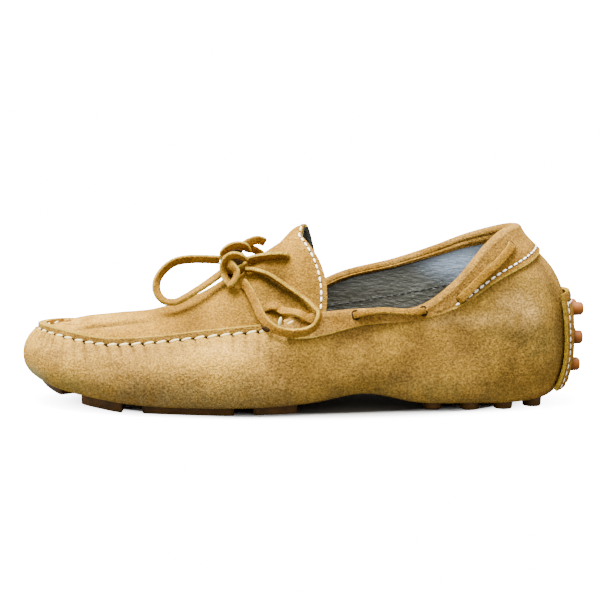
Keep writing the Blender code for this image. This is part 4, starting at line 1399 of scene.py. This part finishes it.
def makeStitches():
    spots = rowOfSpots(onHull(3.03, 0.0006), -gathers["end"], gathers["end"], gathers["pitch"])
    stitchRow("toe_seam_stitches", spots, seamStitch, creamThread, holes=needleHole)
    spots = rowOfSpots(onBand(bandCut["stitchRow"], 0.0003), 9.95, fullTurn - 9.95, 0.0034)
    stitchRow("band_stitches", spots, bandStitch, whiteThread, holes=needleHole)

    def flapLine(share):
        # Along the flap's rear edge, from one side over the crest to the other
        side = 1 if share >= 0 else -1
        level = min(abs(share), 0.97)
        turn = side * 7.85
        normal = -normalOf(apronSkin, turn, max(level, 0.03), 1.0)
        return apronSkin(turn, level), normal

    spots = rowOfSpots(flapLine, -0.97, 0.97, 0.0036)
    stitchRow("flap_stitches", spots, flapStitch, whiteThread, holes=needleHole)

    def tabLine(share):
        # Up one side of the heel patch, over its top and down the other
        inset = 0.21
        side = tabCut["turn"] - inset
        low, high = tabCut["low"] + 0.02, tabCut["high"] - inset * 0.33
        rise = high - low
        if share < 1:
            turn, level = heelTurn - side, low + rise * share
        elif share < 2:
            turn, level = heelTurn - side + 2 * side * (share - 1), high
        else:
            turn, level = heelTurn + side, high - rise * (share - 2)
        return hullPoint(turn, level, tabOut - 0.0004), hullNormal(turn, level)

    spots = rowOfSpots(tabLine, 0, 3, 0.0034)
    stitchRow("heel_patch_stitches", spots, bandStitch, whiteThread, holes=needleHole)


def makeThreadTails():
    grid = bmesh.new()
    for tail in threadTails:
        spot = (Vector(tail.place), Vector(tail.along).normalized(), Vector((0, -0.98, 0.2)), 0)
        addStitches(grid, [spot], tail.length, tail.width, tail.width * 0.8)
    newPiece("seam_thread_tails", grid, [creamThread])


def makeLiningSeam():
    # The seam between the lining's upper and lower parts, on both inner walls
    def seamLine(side):
        def point(share):
            turn = side * (7.2 + 3.6 * share)
            level = levelAtHeight(turn, 0.0425 + 0.0160 * share, levelWide, levelSeam)
            normal = -hullNormal(turn, level)
            reliefAndPaintedLight = min(0.0, hullRelief(turn, level)) / 1000
            return hullPoint(turn, level, reliefAndPaintedLight - wall["upper"] - 0.0006), normal
        return point

    for sideName, side in (("outer", 1), ("inner", -1)):
        spots = rowOfSpots(seamLine(side), 0, 1, 0.0036)
        stitchRow("lining_stitches_" + sideName, spots, liningStitch, greyThread)


def makeRidgeStitches():
    # Where the seam's thread comes through the ridge on the apron's side
    def ridgeLine(turn):
        side = apronSide(turn, levelSeam)
        inward = Vector((-0.078, 0, side.z)) - side
        inward.z = 0
        inward.normalize()
        spot = apronSide(turn, levelSeam + 0.45) + inward * 0.0004
        return spot, (inward + Vector((0, 0, 0.4))).normalized()

    spots = rowOfSpots(ridgeLine, -3.4, 3.4, gathers["pitch"])
    stitchRow("ridge_stitches", spots, ridgeStitch, creamThread)


makeStitches()
makeThreadTails()
makeLiningSeam()
makeRidgeStitches()
print("stitches sewn")


# Floor and light
studio = {"floorSize": 3.0, "keyPower": 120, "keySize": 0.8, "keyPlace": (-0.25, -0.22, 1.2),
          "horizon": 0.2, "zenith": 4.0, "backdrop": 16.0, "paper": "#fdfdfd", "cards": "#6a6a6a",
          "shade": "#4a4640", "shadeSize": (0.170, 0.074, 1.0)}


def makeStudio():
    grid = bmesh.new()
    bmesh.ops.create_grid(grid, x_segments=2, y_segments=24, size=studio["floorSize"])
    for vertex in grid.verts:
        beyond = vertex.co.y - 1.2
        if beyond > 0:
            vertex.co.z = beyond * beyond * 0.8
    floor = bpy.data.meshes.new("floor")
    grid.to_mesh(floor)
    grid.free()
    sweep = bpy.data.objects.new("floor", floor)
    bpy.context.scene.collection.objects.link(sweep)
    material, tree, surface, coordinates = newMaterial("white_paper_sweep", {
        "Roughness": 0.9, "Specular IOR Level": 0.1})
    # To all rays but the camera's the paper is grey, so its bounce stays off the shoe's sides. To
    # the camera it is tinted dark right under the shoe, which deepens the contact shadow
    seen = addNode(tree, "LightPath")
    near = spotMask(tree, coordinates, (0.0, 0.004, 0.0), studio["shadeSize"])
    under = addNode(tree, "MapRange", {}, {"Value": near, "From Min": 0.25, "From Max": 0.55})
    shaded = dab(tree, linear(studio["paper"]), (under, "Result"), 1.0, linear(studio["shade"]))
    paper = dab(tree, linear(studio["cards"]), (seen, "Is Camera Ray"), 1.0, shaded)
    tree.links.new(paper[0].outputs[paper[1]], surface.inputs["Base Color"])
    # Away from the shoe the camera sees the paper overexposed to plain white
    away = addNode(tree, "MapRange", {}, {
        "Value": near, "From Min": 0.30, "From Max": 0.0, "To Max": studio["backdrop"]})
    glare = addNode(tree, "Math", {"operation": "MULTIPLY"}, {
        0: (seen, "Is Camera Ray"), 1: (away, "Result")})
    surface.inputs["Emission Color"].default_value = (1, 1, 1, 1)
    tree.links.new(glare.outputs["Value"], surface.inputs["Emission Strength"])
    roughen(tree, surface, (noiseMask(tree, coordinates, 3, 2, 0.3, 0.7), 0.05, 0.0002))
    floor.materials.append(material)
    light = bpy.data.lights.new("key", "AREA")
    light.energy = studio["keyPower"]
    light.size = studio["keySize"]
    key = bpy.data.objects.new("key", light)
    key.location = studio["keyPlace"]
    aim = Vector((0, 0, 0.03)) - Vector(studio["keyPlace"])
    key.rotation_euler = aim.to_track_quat("-Z", "Y").to_euler()
    bpy.context.scene.collection.objects.link(key)
    world = bpy.data.worlds.new("studio")
    bpy.context.scene.world = world
    world.use_nodes = True
    sky = world.node_tree
    background = sky.nodes["Background"]
    background.inputs["Color"].default_value = (1, 1, 1, 1)
    # The lamps above light the shoe more than the walls do, so the sky is dim near the horizon
    upward = addNode(sky, "SeparateXYZ", {}, {"Vector": (addNode(sky, "TexCoord"), "Object")})
    glow = addNode(sky, "MapRange", {}, {
        "Value": (upward, "Z"), "From Min": -0.1, "From Max": 0.9,
        "To Min": studio["horizon"], "To Max": studio["zenith"]})
    seen = addNode(sky, "Mix", {"data_type": "FLOAT"}, {
        0: (addNode(sky, "LightPath"), "Is Camera Ray"), 2: (glow, "Result"), 3: studio["backdrop"]})
    sky.links.new(seen.outputs[0], background.inputs["Strength"])


makeStudio()
print("finished")
